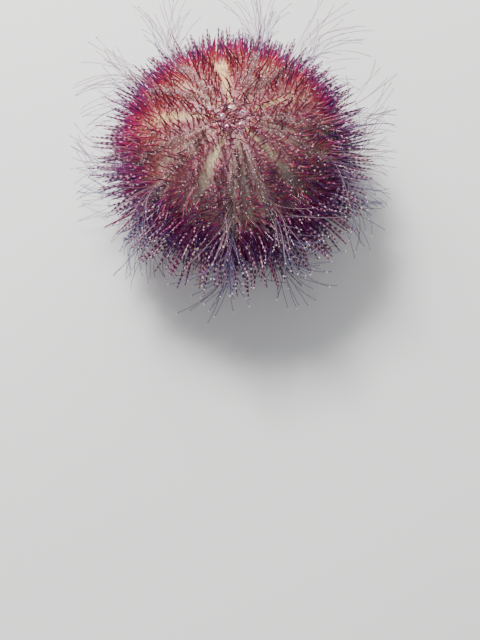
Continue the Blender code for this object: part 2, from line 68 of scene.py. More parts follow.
SHELL_RADIUS = 39.0 * MM
DOME_HEIGHT = 27.0 * MM
BELLY_HEIGHT = 19.0 * MM
BELLY_SQUARENESS = 2.5
MOUTH_RADIUS = 9.6 * MM
MOUTH_SINK = 2.2 * MM
FLOOR_CLEARANCE = 8.5 * MM
WIDEST_LEVEL = FLOOR_CLEARANCE + BELLY_HEIGHT
SHELL_TOP = WIDEST_LEVEL + DOME_HEIGHT

# In degrees: where the first ambulacrum is, and the widths of a pair of columns and of its two.
FIRST_AMBULACRUM = 67.0
PAIR = 72.0
AMBULACRUM = 27.0
INTERAMBULACRUM = PAIR - AMBULACRUM

# The rings run from the mouth's edge to the top, where the last closes on a point.
SHELL_RINGS = 190
SHELL_SIDES = 480
SHELL_ENDS = (170.5, 0.8)
APEX_DIP = 0.6 * MM

# The plates' seams. Widths and the zigzag's swing are in mm, but a level seam's in plate heights.
PLATE_HEIGHT = 2.35 * MM
ROW_OFFSET = 0.25
GROOVE_DEPTH = 0.10 * MM
DEEPEST_GROOVE = 1.2
SEAM_WIDTH = 0.12
ZIGZAG_SWING = 0.5
ZIGZAG_WIDTH = 0.35
PORE_GROOVE = 0.6
PORE_GROOVE_WIDTH = 0.5

# A body's cell of the map has its sides from the foot upwards, the tip above and the end below,
# as an oval whose half width, half height and middle's height these are.
CELL_FOOT = 0.08
CELL_SIDES = 0.84
CELL_MARGIN = 0.03
CELL_END = (0.45, 0.03, 0.035)


def shell_outline(latitude):
    """Radius and height at degrees from the top: an ellipse above the widest level.

    Below it, (r / R)^n + (z / H)^n = 1 with n the squareness, and the middle rises to the mouth.
    """
    sine = np.clip(np.sin(np.radians(latitude)), 0.0, 1.0)
    cosine = np.cos(np.radians(latitude))
    power = 2.0 / BELLY_SQUARENESS
    low_radius = SHELL_RADIUS * sine**power
    inward = np.clip(2.0 - low_radius / MOUTH_RADIUS, 0.0, 1.0)
    low_height = WIDEST_LEVEL - BELLY_HEIGHT * np.abs(cosine) ** power + MOUTH_SINK * inward**2
    above = cosine >= 0.0
    radius = np.where(above, SHELL_RADIUS * sine, low_radius)
    return radius, np.where(above, WIDEST_LEVEL + DOME_HEIGHT * cosine, low_height)


def outline_table(first=0.0, last=180.0, steps=4000):
    """Latitudes in even steps and how far down the outline each is, as a running sum."""
    latitudes = np.linspace(first, last, steps)
    radius, height = shell_outline(latitudes)
    out, down = np.diff(radius, prepend=radius[0]), np.diff(height, prepend=height[0])
    return latitudes, np.cumsum(np.hypot(out, down))


OUTLINE_LATITUDES, OUTLINE_TRAVEL = outline_table()


def travel_of(latitude):
    """How far down the outline a latitude is, in metres from the top."""
    return np.interp(latitude, OUTLINE_LATITUDES, OUTLINE_TRAVEL)


def latitude_of(travel):
    """The latitude at a way down the outline, the other way round."""
    return np.interp(travel, OUTLINE_TRAVEL, OUTLINE_LATITUDES)


def shell_points(latitude, azimuth, out=0.0):
    """Points on the shell, moved out along its normal, which is the outline's turned a quarter."""
    step = 0.05
    radius, height = shell_outline(latitude)
    ahead, behind = shell_outline(latitude + step), shell_outline(latitude - step)
    along_r, along_z = ahead[0] - behind[0], ahead[1] - behind[1]
    size = np.maximum(np.hypot(along_r, along_z), 1e-12)
    radius, height = radius - out * along_z / size, height + out * along_r / size
    turn = np.radians(azimuth)
    return np.stack([radius * np.cos(turn), radius * np.sin(turn), height + 0.0 * turn], axis=-1)


def column_place(azimuth):
    """Where an azimuth is across the columns: 0 on an interambulacrum's middle, 1 at its edge
    with an ambulacrum, and 2 on the ambulacrum's middle."""
    off = np.abs((azimuth - FIRST_AMBULACRUM + PAIR / 2.0) % PAIR - PAIR / 2.0)
    inside = off < AMBULACRUM / 2.0
    return np.where(inside, 2.0 - off / (AMBULACRUM / 2.0),
                    (PAIR / 2.0 - off) / (INTERAMBULACRUM / 2.0))


def bell(distance, width):
    """1 on a line and less beside it, exp(-(distance / width)^2)."""
    return np.exp(-(distance / width) ** 2)


def shell_relief(latitude, azimuth):
    """How far the surface stands out: bell-shaped grooves where plates meet, in rows that zigzag
    down the middle of every column, and along the pores at the columns' edges."""
    place = column_place(azimuth)
    flank = np.sign((azimuth - FIRST_AMBULACRUM) % (PAIR / 2.0) - PAIR / 4.0)
    across = np.abs((travel_of(latitude) / PLATE_HEIGHT + ROW_OFFSET * flank) % 1.0 - 0.5) * 2.0
    width = np.radians(PAIR / 4.0) * shell_outline(latitude)[0] / MM
    zigzag = np.minimum(place, 2.0 - place) * width - ZIGZAG_SWING * (1.0 - across)
    seams = bell(1.0 - across, SEAM_WIDTH) + bell(zigzag, ZIGZAG_WIDTH)
    pores = PORE_GROOVE * bell((place - 1.0) * width, PORE_GROOVE_WIDTH)
    return -GROOVE_DEPTH * np.clip(seams + pores, 0.0, DEEPEST_GROOVE)


def rod_pattern(rings, sides):
    """Corners, face sizes and map of one body: quads between its rings, a fan at the tip and the
    first ring's end. The rings turn counter-clockwise seen from the tip, to face outwards.

    In a unit cell, the map goes round the body to the right and along it upwards.
    """
    row, column = np.meshgrid(np.arange(rings - 1), np.arange(sides), indexing="ij")
    right = (column + 1) % sides
    quads = np.stack([row * sides + right, (row + 1) * sides + right,
                      (row + 1) * sides + column, row * sides + column], axis=-1)
    ring = np.arange(sides)
    last = (rings - 1) * sides
    tip = np.stack([last + ring, last + (ring + 1) % sides, np.full(sides, rings * sides)], axis=-1)
    corners = np.concatenate([quads.ravel(), tip.ravel(), ring[::-1]])
    faces = np.concatenate([np.full(row.size, 4), np.full(sides, 3), [sides]])

    left, right = column / sides, (column + 1) / sides
    low = CELL_FOOT + CELL_SIDES * row / (rings - 1)
    high = CELL_FOOT + CELL_SIDES * (row + 1) / (rings - 1)
    shoulder = np.full(sides, CELL_FOOT + CELL_SIDES)
    turns = -ring * 2.0 * math.pi / sides
    half_width, half_height, middle = CELL_END
    flat = [np.stack(values, axis=-1).reshape(-1, 2) for values in (
        [right, low, right, high, left, high, left, low],
        [ring / sides, shoulder, (ring + 1) / sides, shoulder, (ring + 0.5) / sides,
         np.ones(sides)],
        [0.5 + half_width * np.cos(turns), middle + half_height * np.sin(turns)])]
    return corners, faces, np.concatenate(flat)


def ringed_mesh(name, rings, tips, cells, attributes):
    """A mesh of like closed bodies from their rings, (body, ring, side, xyz), and their tips.

    The attributes have a value for each body, or for each body and ring, or each corner of it.
    """
    count, ring_count, sides = rings.shape[:3]
    points = np.concatenate([rings.reshape(count, -1, 3), tips[:, None]], axis=1)
    placed = points.reshape(-1, 3) + np.array(AXIS)
    template, faces, unwrap = rod_pattern(ring_count, sides)
    corners = (template[None] + np.arange(count)[:, None] * points.shape[1]).ravel()
    corner, size = cells
    inner = CELL_MARGIN + (1.0 - 2.0 * CELL_MARGIN) * unwrap
    uv = corner[:, None] + inner[None] * size[:, None]
    mesh = bpy.data.meshes.new(name)
    mesh.vertices.add(len(placed))
    mesh.vertices.foreach_set("co", placed.astype(np.float32).ravel())
    mesh.loops.add(len(corners))
    mesh.loops.foreach_set("vertex_index", corners.astype(np.int32))
    sizes = np.tile(faces, count)
    mesh.polygons.add(len(sizes))
    mesh.polygons.foreach_set("loop_start", np.append(0, np.cumsum(sizes)[:-1]).astype(np.int32))
    mesh.update(calc_edges=True)
    mesh.uv_layers.new(name="OFBake").uv.foreach_set("vector", uv.astype(np.float32).ravel())
    for label, values in attributes.items():
        values = np.asarray(values, dtype=float).reshape(count, -1)
        if values.shape[1] in (1, ring_count):
            values = np.repeat(np.broadcast_to(values, (count, ring_count)), sides, axis=1)
            values = np.concatenate([values, values[:, -1:]], axis=1)
        mesh.attributes.new(label, "FLOAT", "POINT").data.foreach_set(
            "value", values.astype(np.float32).ravel())
    mesh.shade_smooth()
    return mesh


def new_object(name, data):
    """An object in the scene that shows the data."""
    made = bpy.data.objects.new(name, data)
    bpy.context.scene.collection.objects.link(made)
    return made


def add_piece(mesh, material, nodes):
    """Puts a mesh in the scene as a piece that rides on the model and stands for frame nodes."""
    piece = new_object(mesh.name, mesh)
    mesh.materials.append(material)
    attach(piece, "root")
    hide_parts(*nodes)


def add_node(tree, kind, inputs=None, **settings):
    """A shader node with its settings, and a value or a link for each named or numbered input."""
    made = tree.nodes.new(kind)
    for name, value in settings.items():
        setattr(made, name, value)
    for name, value in (inputs or {}).items():
        if isinstance(value, bpy.types.NodeSocket):
            tree.links.new(value, made.inputs[name])
        else:
            made.inputs[name].default_value = value
    return made


def new_material(name, roughness, **extras):
    """An empty Principled material. Returns it with its node tree and shader."""
    made = bpy.data.materials.new(name)
    made.use_nodes = True
    shader = made.node_tree.nodes["Principled BSDF"]
    shader.inputs["Roughness"].default_value = roughness
    for label, value in extras.items():
        shader.inputs[label.replace("_", " ")].default_value = value
    return made, made.node_tree, shader


def linear(colour):
    """A colour given as 0 to 255 in the usual screen scale, as linear light with alpha 1."""
    shares = np.array(colour) / 255.0
    light = np.where(shares > 0.04045, ((shares + 0.055) / 1.055) ** 2.4, shares / 12.92)
    return (*[float(value) for value in light], 1.0)


def ramp(tree, factor, stops):
    """A colour ramp's output, from (place, screen colour) stops."""
    made = add_node(tree, "ShaderNodeValToRGB", {"Fac": factor})
    elements = made.color_ramp.elements
    while len(elements) < len(stops):
        elements.new(0.5)
    for element, (place, colour) in zip(elements, stops):
        element.position = place
        element.color = linear(colour)
    return made.outputs["Color"]


def blend_colours(tree, factor, first, second, blend_type="MIX"):
    """The first colour at a factor of 0 and, at 1, the second or what the type makes of both."""
    return add_node(tree, "ShaderNodeMix", {0: factor, 6: first, 7: second}, data_type="RGBA",
                    blend_type=blend_type).outputs[2]


def math_node(tree, operation, first, second=0.0):
    """The result of one sum on one or two values."""
    return add_node(tree, "ShaderNodeMath", {0: first, 1: second}, operation=operation).outputs[0]


def times(tree, first, second):
    """The product of two values."""
    return math_node(tree, "MULTIPLY", first, second)


def stretch(tree, value, low, high, to_low=0.0, to_high=1.0):
    """The value carried from one range to another, held at the ends."""
    return add_node(tree, "ShaderNodeMapRange", {"Value": value, "From Min": low, "From Max": high,
                                                 "To Min": to_low, "To Max": to_high}).outputs[0]


def between(tree, share, first, second):
    """The value on the straight line from the first at a share of 0 to the second at 1."""
    return stretch(tree, share, 0.0, 1.0, first, second)


def attribute(tree, name):
    """A value that the mesh holds for each of its points."""
    return add_node(tree, "ShaderNodeAttribute", attribute_name=name).outputs["Fac"]


def object_place(tree):
    """The point's place in the object, which is its place in the model."""
    return add_node(tree, "ShaderNodeTexCoord").outputs["Object"]


def cell_distance(tree, scale):
    """How far a point is from the middle of the random cell that it lies in."""
    return add_node(tree, "ShaderNodeTexVoronoi",
                    {"Vector": object_place(tree), "Scale": scale}).outputs["Distance"]


def paint(tree, shader, colour):
    """Gives the shader a colour that changes over the surface."""
    tree.links.new(colour, shader.inputs["Base Color"])


def add_bump(tree, shader, height, strength, depth, invert=False):
    """Makes the surface look uneven by a height of 0 to 1 that stands for the depth."""
    bump = add_node(tree, "ShaderNodeBump",
                    {"Height": height, "Strength": strength, "Distance": depth}, invert=invert)
    tree.links.new(bump.outputs[0], shader.inputs["Normal"])


def mottle_group():
    """Two scales of noise on the object's coordinates, added to a middle of one half."""
    group = bpy.data.node_groups.new("mottle", "ShaderNodeTree")
    for label, value in (("Coarse", 150.0), ("Fine", 900.0)):
        socket = group.interface.new_socket(label, in_out="INPUT", socket_type="NodeSocketFloat")
        socket.default_value = value
    group.interface.new_socket("Value", in_out="OUTPUT", socket_type="NodeSocketFloat")
    entry = add_node(group, "NodeGroupInput")
    where = object_place(group)
    scales = [add_node(group, "ShaderNodeTexNoise", {"Vector": where, "Scale": entry.outputs[label],
                                                     "Detail": 3.0}).outputs[0]
              for label in ("Coarse", "Fine")]
    total = times(group, math_node(group, "ADD", *scales), 0.5)
    add_node(group, "NodeGroupOutput", {"Value": stretch(group, total, 0.3, 0.7)})
    return group


MOTTLE = mottle_group()


def mottle(tree, coarse, fine):
    """The mottle's value, between 0 and 1, at two scales in patches for each metre."""
    return add_node(tree, "ShaderNodeGroup", {"Coarse": coarse, "Fine": fine},
                    node_tree=MOTTLE).outputs["Value"]


# The way to the sunlit far left side, and how far each way from the axis its colours take over.
# Colours are blended along it from painted shade on the near side to painted sunlight on the far.
SUNLIT_WAY = (-0.42, 0.91, 0.0)
SUNLIT_SPREAD = 0.026


def sunlit_side(tree):
    """A share that rises from the near right side of the animal, painted in shade, to its far left
    side, painted in sunlight.
    """
    side = add_node(tree, "ShaderNodeVectorMath", {0: object_place(tree), 1: SUNLIT_WAY},
                    operation="DOT_PRODUCT").outputs["Value"]
    return stretch(tree, side, -SUNLIT_SPREAD, SUNLIT_SPREAD)


def blended_ramps(tree, factor, value, first, second):
    """The colour at a value, from one ramp's stops at a factor of 0 and another's at 1."""
    return blend_colours(tree, factor, ramp(tree, value, first), ramp(tree, value, second))


# Colours from a bare band's middle, at 0, over the pores near 0.6 to an ambulacrum's middle.
# Each set has a copy with painted sunlight for the far side and one with painted shade for the
# near side.
SUNLIT_FAR_SHELL = ((0.0, (255, 226, 146)), (0.09, (242, 176, 126)), (0.18, (188, 98, 100)),
             (0.44, (182, 94, 104)), (0.51, (220, 148, 134)), (0.70, (220, 146, 134)),
             (0.80, (204, 120, 116)), (0.92, (220, 162, 138)), (1.0, (218, 166, 138)))
SHADED_NEAR_SHELL = ((0.0, (182, 180, 152)), (0.10, (172, 152, 138)), (0.20, (170, 122, 132)),
              (0.44, (166, 108, 138)), (0.50, (240, 200, 188)), (0.72, (238, 198, 186)),
              (0.80, (142, 98, 114)), (0.92, (150, 136, 128)), (1.0, (150, 144, 128)))
SUNLIT_FAR_RIM_SHELL = ((0.0, (212, 96, 144)), (0.4, (190, 74, 138)), (0.6, (164, 64, 136)),
                 (1.0, (150, 66, 126)))
SHADED_NEAR_RIM_SHELL = ((0.0, (124, 34, 96)), (0.4, (100, 22, 94)), (0.6, (78, 24, 98)),
                  (1.0, (66, 26, 88)))
LOWER_SHELL = ((0.0, (206, 116, 70)), (0.35, (150, 50, 62)), (0.6, (96, 18, 68)),
               (1.0, (140, 76, 82)))
SHADED_NEAR_DUSKY_SHELL = (102, 66, 94)
SUNLIT_FAR_DUSKY_SHELL = (188, 92, 102)
APICAL_SKIN = (126, 54, 78)
SHELL_STAIN = (156, 96, 100)
SPECK = (226, 208, 190)

# Between which latitudes the colours change, as shares of 180 degrees. The starts and ends of the
# dusk and the rim are pairs, for the shaded near and the sunlit far side.
DUSK_STARTS, DUSK_ENDS = (0.13, 0.23), (0.29, 0.34)
RIM_STARTS, RIM_ENDS = (0.38, 0.33), (0.48, 0.44)
BELOW = (0.58, 0.78)
APICAL = (0.052, 0.036)
SPECKS_END = (0.5, 0.4)

# How strong the dusk, the stain and the specks are, where the dusk ends on the way to the pores,
# how far a speck reaches in its cell, and how far the mottle moves the colours' edges.
DUSK = 0.8
DUSK_WITHIN = (0.38, 0.46)
STAIN = 0.42
SPECKS = 0.55
SPECK_REACH = (0.34, 0.22)
WANDER = 0.09


def shell_material():
    """Bare bands above, violet round the rim and rust below, with painted sunlight on the far side
    that makes the bands cream and painted shade on the near side that makes them grey-green.
    """
    made, tree, shader = new_material("shell_skin", 0.55, Coat_Weight=0.10, Coat_Roughness=0.15)
    level = attribute(tree, "level")
    far = sunlit_side(tree)
    patches = mottle(tree, coarse=160.0, fine=1100.0)
    wander = times(tree, math_node(tree, "SUBTRACT", patches, 0.5), WANDER)
    place = math_node(tree, "ADD", times(tree, attribute(tree, "place"), 0.5), wander)
    # Painted shade on the near side blended into painted sunlight on the far side.
    colour = blended_ramps(tree, far, place, SHADED_NEAR_SHELL, SUNLIT_FAR_SHELL)
    dusk = stretch(tree, level, between(tree, far, *DUSK_STARTS), between(tree, far, *DUSK_ENDS),
                   0.0, DUSK)
    dusk = times(tree, dusk, stretch(tree, place, *DUSK_WITHIN, 1.0, 0.0))
    # The dusk's colour, with painted shade near and painted sunlight far.
    dusky = blend_colours(tree, far, linear(SHADED_NEAR_DUSKY_SHELL), linear(SUNLIT_FAR_DUSKY_SHELL))
    colour = blend_colours(tree, dusk, colour, dusky)
    rim = stretch(tree, math_node(tree, "ADD", level, wander), between(tree, far, *RIM_STARTS),
                  between(tree, far, *RIM_ENDS))
    # The rim's colours, with painted shade near and painted sunlight far.
    colour = blend_colours(tree, rim, colour,
                           blended_ramps(tree, far, place, SHADED_NEAR_RIM_SHELL, SUNLIT_FAR_RIM_SHELL))
    colour = blend_colours(tree, stretch(tree, level, *BELOW), colour,
                           ramp(tree, place, LOWER_SHELL))
    colour = blend_colours(tree, stretch(tree, level, *APICAL), colour, linear(APICAL_SKIN))
    colour = blend_colours(tree, between(tree, patches, 0.0, STAIN), colour, linear(SHELL_STAIN),
                           "MULTIPLY")
    grains = cell_distance(tree, 1100.0)
    specks = times(tree, stretch(tree, grains, *SPECK_REACH, 0.0, SPECKS),
                   stretch(tree, level, *SPECKS_END))
    paint(tree, shader, blend_colours(tree, specks, colour, linear(SPECK)))
    add_bump(tree, shader, grains, strength=0.6, depth=0.25 * MM, invert=True)
    return made


shell_rows = latitude_of(np.linspace(*travel_of(SHELL_ENDS), SHELL_RINGS))
shell_turns = np.arange(SHELL_SIDES) * 360.0 / SHELL_SIDES
grid_latitude, grid_azimuth = np.meshgrid(shell_rows, shell_turns, indexing="ij")
shell_rings = shell_points(grid_latitude, grid_azimuth, shell_relief(grid_latitude, grid_azimuth))
apex = np.array([[0.0, 0.0, SHELL_TOP - APEX_DIP]])
whole_cell = (np.zeros((1, 2)), np.ones((1, 2)))
shell_mesh = ringed_mesh("shell", shell_rings[None], apex, whole_cell,
                         {"place": np.append(column_place(grid_azimuth).ravel(), 1.0),
                          "level": np.append((grid_latitude / 180.0).ravel(), 0.0)})
add_piece(shell_mesh, shell_material(), WEDGES)

# The plates of the apical disc. Five large ones each with an egg pore, of which one is the sieve
# for sea water, five small ones at the heads of the ambulacra and a patch of tiny ones round the
# anus. They are hard and glossy, and short spines cross over them.

# Each plate's distance from the axis, half length and half width in mm, and number of corners.
GENITAL_PLATE = (4.1, 1.55, 1.8, 5)
SIEVE_PLATE = (4.15, 1.6, 1.7, 6)
OCULAR_PLATE = (5.5, 0.85, 1.0, 3)
OUTER_ANAL_PLATE = (1.75, 0.52, 0.60, 5)
INNER_ANAL_PLATE = (0.75, 0.36, 0.40, 5)
ANAL_RISE = 0.15

# The dome of a plate, as (share of its half width, height in mm), and where its pore begins. The
# pore is a hole, painted dark for the shade inside it.
PLATE_STEPS = ((1.02, -0.8), (1.0, 0.05), (0.92, 0.30), (0.75, 0.48), (0.45, 0.60), (0.16, 0.65))
PLATE_SIDES = 30
PORE_EDGE = (0.80, 0.86)
PLATE_STAIN = (150, 92, 104)
EGG_PORE_SHADE = (60, 16, 30)


def root_cells(latitudes, azimuths, tall):
    """The corner and size of each body's cell of the map: rows of latitude, in order of azimuth.

    This is an unwrap of the shell, pulled a little so that every body has a cell of its own, about
    as many times taller than wide as is given.
    """
    count = len(latitudes)
    rows = max(1, round(math.sqrt(count / tall)))
    order = np.argsort(-latitudes, kind="stable")
    corner, size = np.zeros((count, 2)), np.full((count, 2), 1.0 / rows)
    for row, members in enumerate(np.array_split(order, rows)):
        ranked = members[np.argsort(azimuths[members], kind="stable")]
        corner[ranked, 0] = np.arange(len(ranked)) / len(ranked)
        corner[ranked, 1] = row / rows
        size[ranked, 0] = 1.0 / len(ranked)
    return corner, size


def plate_mesh(name, kinds, azimuths, rise):
    """Domed plates laid on the shell, from (distance, half length, half width, corners) in mm.

    A plate's edge is half circle and half polygon, cos(w) / cos(t mod 2w - w) with w half a
    corner's turn, and its rings shrink towards the middle as they rise.
    """
    distance, length, width, corners = np.array(kinds, dtype=float).T[:, :, None, None]
    turns = (np.arange(PLATE_SIDES) * 2.0 * math.pi / PLATE_SIDES)[None, None]
    wedge = math.pi / corners
    edge = 0.5 + 0.5 * np.cos(wedge) / np.cos(turns % (2.0 * wedge) - wedge)
    steps = np.array(PLATE_STEPS)
    share, height = steps[None, :, 0, None], steps[None, :, 1, None] + rise
    out = distance + share * edge * np.cos(turns) * length
    over = share * edge * np.sin(turns) * width
    latitude = np.degrees(np.arcsin(np.hypot(out, over) * MM / SHELL_RADIUS))
    azimuth = azimuths[:, None, None] + np.degrees(np.arctan2(over, out))
    rings = shell_points(latitude, azimuth, height * MM * np.ones_like(latitude))
    middles = np.degrees(np.arcsin(distance[:, 0, 0] * MM / SHELL_RADIUS))
    tips = shell_points(middles, azimuths, (PLATE_STEPS[-1][1] + rise) * MM)
    return ringed_mesh(name, rings, tips, root_cells(middles, azimuths % 360.0, tall=1.0),
                       {"share": 1.0 - np.broadcast_to(steps[:, 0], (len(azimuths), len(steps)))})


def plate_material(name, colour, pore, pits):
    """Glossy pale lime with a pore in the middle painted dark as shade in the hole, grainy or
    pitted like a sieve.
    """
    made, tree, shader = new_material(name, 0.3, Coat_Weight=1.0, Coat_Roughness=0.06)
    # The pore: painted shade for the hole in the middle of the plate.
    dark = stretch(tree, attribute(tree, "share"), *PORE_EDGE, 0.0, pore)
    stained = mottle(tree, coarse=300.0, fine=1500.0)
    base = blend_colours(tree, stained, linear(colour), linear(PLATE_STAIN))
    paint(tree, shader, blend_colours(tree, dark, base, linear(EGG_PORE_SHADE)))
    add_bump(tree, shader, cell_distance(tree, pits), strength=0.5, depth=0.12 * MM)
    return made


interambulacra = FIRST_AMBULACRUM + PAIR * (np.arange(5) + 0.5)
ambulacra = FIRST_AMBULACRUM + PAIR * np.arange(5)
anal_azimuths = np.append(np.arange(8) * 45.0, np.arange(5) * 72.0 + 20.0)
for name, node, kinds, azimuths, rise, colour, pore, pits in (
        ("apical_plates", "apical_disc", [GENITAL_PLATE] * 4 + [OCULAR_PLATE] * 5,
         np.append(interambulacra[1:], ambulacra), 0.0, (206, 150, 166), 1.0, 1900.0),
        ("sieve_plate", "sieve_plate", [SIEVE_PLATE],
         interambulacra[:1], 0.0, (222, 186, 182), 0.0, 2600.0),
        ("anal_plates", "anal_plates", [OUTER_ANAL_PLATE] * 8 + [INNER_ANAL_PLATE] * 5,
         anal_azimuths, ANAL_RISE, (178, 92, 100), 0.0, 1500.0)):
    add_piece(plate_mesh(name, kinds, azimuths, rise), plate_material(name, colour, pore, pits),
              [node])

# The spines. Solid rods of clear-grained lime, each on a ball joint over a boss of the shell,
# with a milled ring at the foot and a tapering shaft. On top they are short and red with dark
# tips, and stand in rows that run down the shell with bare bands between them.

# Lengths and widths in mm and rises in degrees, each by latitude.
SHORT_LENGTHS = ((8, 4.1), (22, 5.3), (45, 6.5), (62, 7.5), (80, 8.2), (104, 8.5))
SHORT_WIDTHS = ((8, 0.50), (45, 0.58), (80, 0.60), (104, 0.62))
SPINE_RISES = ((8, 80), (22, 68), (45, 51), (62, 34), (76, 14), (90, -4), (106, -15), (122, -33),
               (140, -50), (168, -66))
COLUMNS = 10
SPINE_ROW = 1.95 * MM
SPINE_STEP = 2.1 * MM
LOWEST_TIP = 0.25 * MM
LENGTH_SPREAD = 0.14
WIDTH_SPREAD = 0.12
SPINE_BEND = 0.045
STRAIGHT_BELOW = 0.5 * WIDEST_LEVEL

# How wide the gaps without spines are in each column, as shares across it, and where they close.
BARE_BANDS = np.array([0.22, 0.13, 0.20, 0.20, 0.14])
AMBULACRAL_BARE_BAND = 0.16
PORES_AT = 1.25
PORE_BAND = 0.25
RAGGED_EDGE = (0.5, 1.4)
BANDS_CLOSE = (40.0, 66.0)
PORES_CLOSE = (62.0, 84.0)
STRAGGLERS = 0.10

# The waves that tilt neighbours alike, round the shell and down it: size, turns, drops and start.
LEANS = (((0.30, 7.0, 4.0, 0.0), (0.24, 17.0, -9.0, 40.0)),
         ((0.16, 5.0, 11.0, 80.0), (0.14, 13.0, 7.0, 200.0)))

# How far up a spine its rings lie, in radii and in shares of its length, and how wide they are.
SHAFT = ((0.0, 0.22, 1.0), (0.0, 0.45, 0.90), (0.0, 0.68, 0.74), (0.0, 0.86, 0.52),
         (0.0, 1.0, 0.24))
BOSSED_SPINE = ((-2.2, 0.0, 2.5), (0.5, 0.0, 1.9), (1.1, 0.0, 0.9), (1.9, 0.0, 1.4),
                (3.0, 0.0, 1.0)) + SHAFT


def heading(azimuth, rise):
    """Unit vectors at azimuths and rises in degrees, as an array with x, y, z last."""
    turn, lift = np.broadcast_arrays(np.radians(azimuth), np.radians(rise))
    level = np.cos(lift)
    return np.stack([np.cos(turn) * level, np.sin(turn) * level, np.sin(lift)], axis=-1)


def smooth_step(low, high, value):
    """0 at the low value and 1 at the high one, with 3s^2 - 2s^3 of the share s between them."""
    share = np.clip((value - low) / (high - low), 0.0, 1.0)
    return share * share * (3.0 - 2.0 * share)


def at_latitude(pairs, latitude):
    """Values on straight lines between (latitude, value) pairs."""
    return np.interp(latitude, *zip(*pairs))


def sown_roots(first, last, row_step, step, jitter, draw):
    """Latitudes and azimuths in rows down the shell, even in each column and a little unsettled."""
    latitudes, azimuths = [], []
    for travel in np.arange(travel_of(first), travel_of(last), row_step):
        around = 2.0 * math.pi * float(shell_outline(latitude_of(travel))[0])
        count = COLUMNS * max(1, round(around / step / COLUMNS))
        turns = FIRST_AMBULACRUM + (np.arange(count) + 0.5) * 360.0 / count
        azimuths.append(turns + draw.uniform(-1, 1, count) * jitter * 360.0 / count)
        latitudes.append(latitude_of(travel + draw.uniform(-1, 1, count) * jitter * row_step))
    return np.concatenate(latitudes), np.concatenate(azimuths) % 360.0


def standing(roots, share, draw):
    """The roots whose spines stand: hardly any in the bare bands or on the pores, whose edges are
    uneven and which close towards the rim."""
    latitudes, azimuths = roots
    column = column_place(azimuths)
    band = BARE_BANDS[((azimuths - FIRST_AMBULACRUM) % 360.0 // PAIR).astype(int)]
    edge = share * draw.uniform(*RAGGED_EDGE, len(latitudes))
    limit = edge * (1.0 - smooth_step(*BANDS_CLOSE, latitudes))
    pores = np.minimum(edge, 1.0) * (1.0 - smooth_step(*PORES_CLOSE, latitudes))
    covered = ((column > band * limit) & (column < 2.0 - AMBULACRAL_BARE_BAND * limit)
               & (np.abs(column - PORES_AT) > PORE_BAND * pores))
    kept = covered | (draw.random(len(latitudes)) < STRAGGLERS)
    return latitudes[kept], azimuths[kept]


def usual_ways(roots, spread, draw, lean=1.0):
    """Unit vectors at the usual rise for the latitude, tilted round and down the shell: some way
    with their neighbours, by slow waves sin(a * azimuth + b * latitude), and some by themselves."""
    latitudes, azimuths = roots
    rises = at_latitude(SPINE_RISES, latitudes)
    tilts = draw.normal(0.0, spread, (len(LEANS), len(latitudes)))
    for tilt, waves in zip(tilts, LEANS):
        for size, turns, drops, start in waves:
            tilt += lean * size * np.sin(np.radians(turns * azimuths + drops * latitudes + start))
    ways = (heading(azimuths, rises) + tilts[0][:, None] * heading(azimuths + 90.0, 0.0)
            + tilts[1][:, None] * heading(azimuths, rises - 90.0))
    return ways / np.linalg.norm(ways, axis=1, keepdims=True)


# A slanting direction that hardly any rod lies along. The first side of every ring is square to it.
ASIDE = np.array([0.31, 0.17, 0.93])


def rod_rings(lines, radii, sides):
    """Rings round each line, line + radius * (side cos t + other sin t), with side and other square
    to the line's own direction, and tips that stand half a radius beyond the last ring."""
    ways = np.gradient(lines, axis=1)
    ways /= np.linalg.norm(ways, axis=2, keepdims=True)
    side = np.cross(ways, ASIDE)
    side /= np.linalg.norm(side, axis=2, keepdims=True)
    other = np.cross(ways, side)
    turns = (np.arange(sides) * 2.0 * math.pi / sides)[None, None, :, None]
    around = side[:, :, None] * np.cos(turns) + other[:, :, None] * np.sin(turns)
    tips = lines[:, -1] + ways[:, -1] * 0.5 * radii[:, -1:]
    return lines[:, :, None] + around * radii[:, :, None, None], tips


def rods_mesh(name, lines, radii, along, lengths, roots, sides, draw, tall=2.0):
    """Many closed round rods, with their map cells and the attributes that the finishes read."""
    latitudes, azimuths = roots
    rings, tips = rod_rings(lines, radii, sides)
    return ringed_mesh(name, rings, tips, root_cells(latitudes, azimuths, tall),
                       {"along": along / MM, "share": along / lengths[:, None],
                        "collar": along / radii.max(1)[:, None], "chance": draw.random(len(lines)),
                        "level": latitudes / 180.0, "place": column_place(azimuths)})


def spine_mesh(name, latitudes, azimuths, ways, lengths, widths, profile, sides, draw):
    """Spines from roots on the shell: root + direction * d + bend * L * (d / L)^2, with d along.

    Each is cut short where it would pass the floor.
    """
    count = len(latitudes)
    roots = shell_points(latitudes, azimuths)
    room = (roots[:, 2] - LOWEST_TIP) / np.maximum(-ways[:, 2], 1e-6)
    lengths = lengths * (1.0 + LENGTH_SPREAD * draw.uniform(-1, 1, count))
    lengths = np.where(ways[:, 2] < 0.0, np.minimum(lengths, room), lengths)
    radii = widths / 2.0 * (1.0 + WIDTH_SPREAD * draw.uniform(-1, 1, count))
    rings = np.array(profile)
    along = rings[None, :, 0] * radii[:, None] + rings[None, :, 1] * lengths[:, None]
    upper = roots[:, 2] > STRAIGHT_BELOW
    bends = draw.normal(0.0, SPINE_BEND, (count, 3)) * upper[:, None]
    curve = lengths[:, None] * (np.maximum(along, 0.0) / lengths[:, None]) ** 2
    lines = roots[:, None] + ways[:, None] * along[..., None] + bends[:, None] * curve[..., None]
    return rods_mesh(name, lines, radii[:, None] * rings[None, :, 2], along, lengths,
                     (latitudes, azimuths), sides, draw)


def add_spines(pieces, roots, ways, lengths, widths, profile, sides, finish, draw,
               nodes=WEDGES):
    """Spines from (latitudes, azimuths), as one piece for each band of latitude."""
    for name, first, last in pieces:
        chosen = (roots[0] >= first) & (roots[0] < last)
        parts = [values[chosen] for values in (*roots, ways, lengths, widths)]
        add_piece(spine_mesh(name, *parts, profile, sides, draw), finish, nodes)
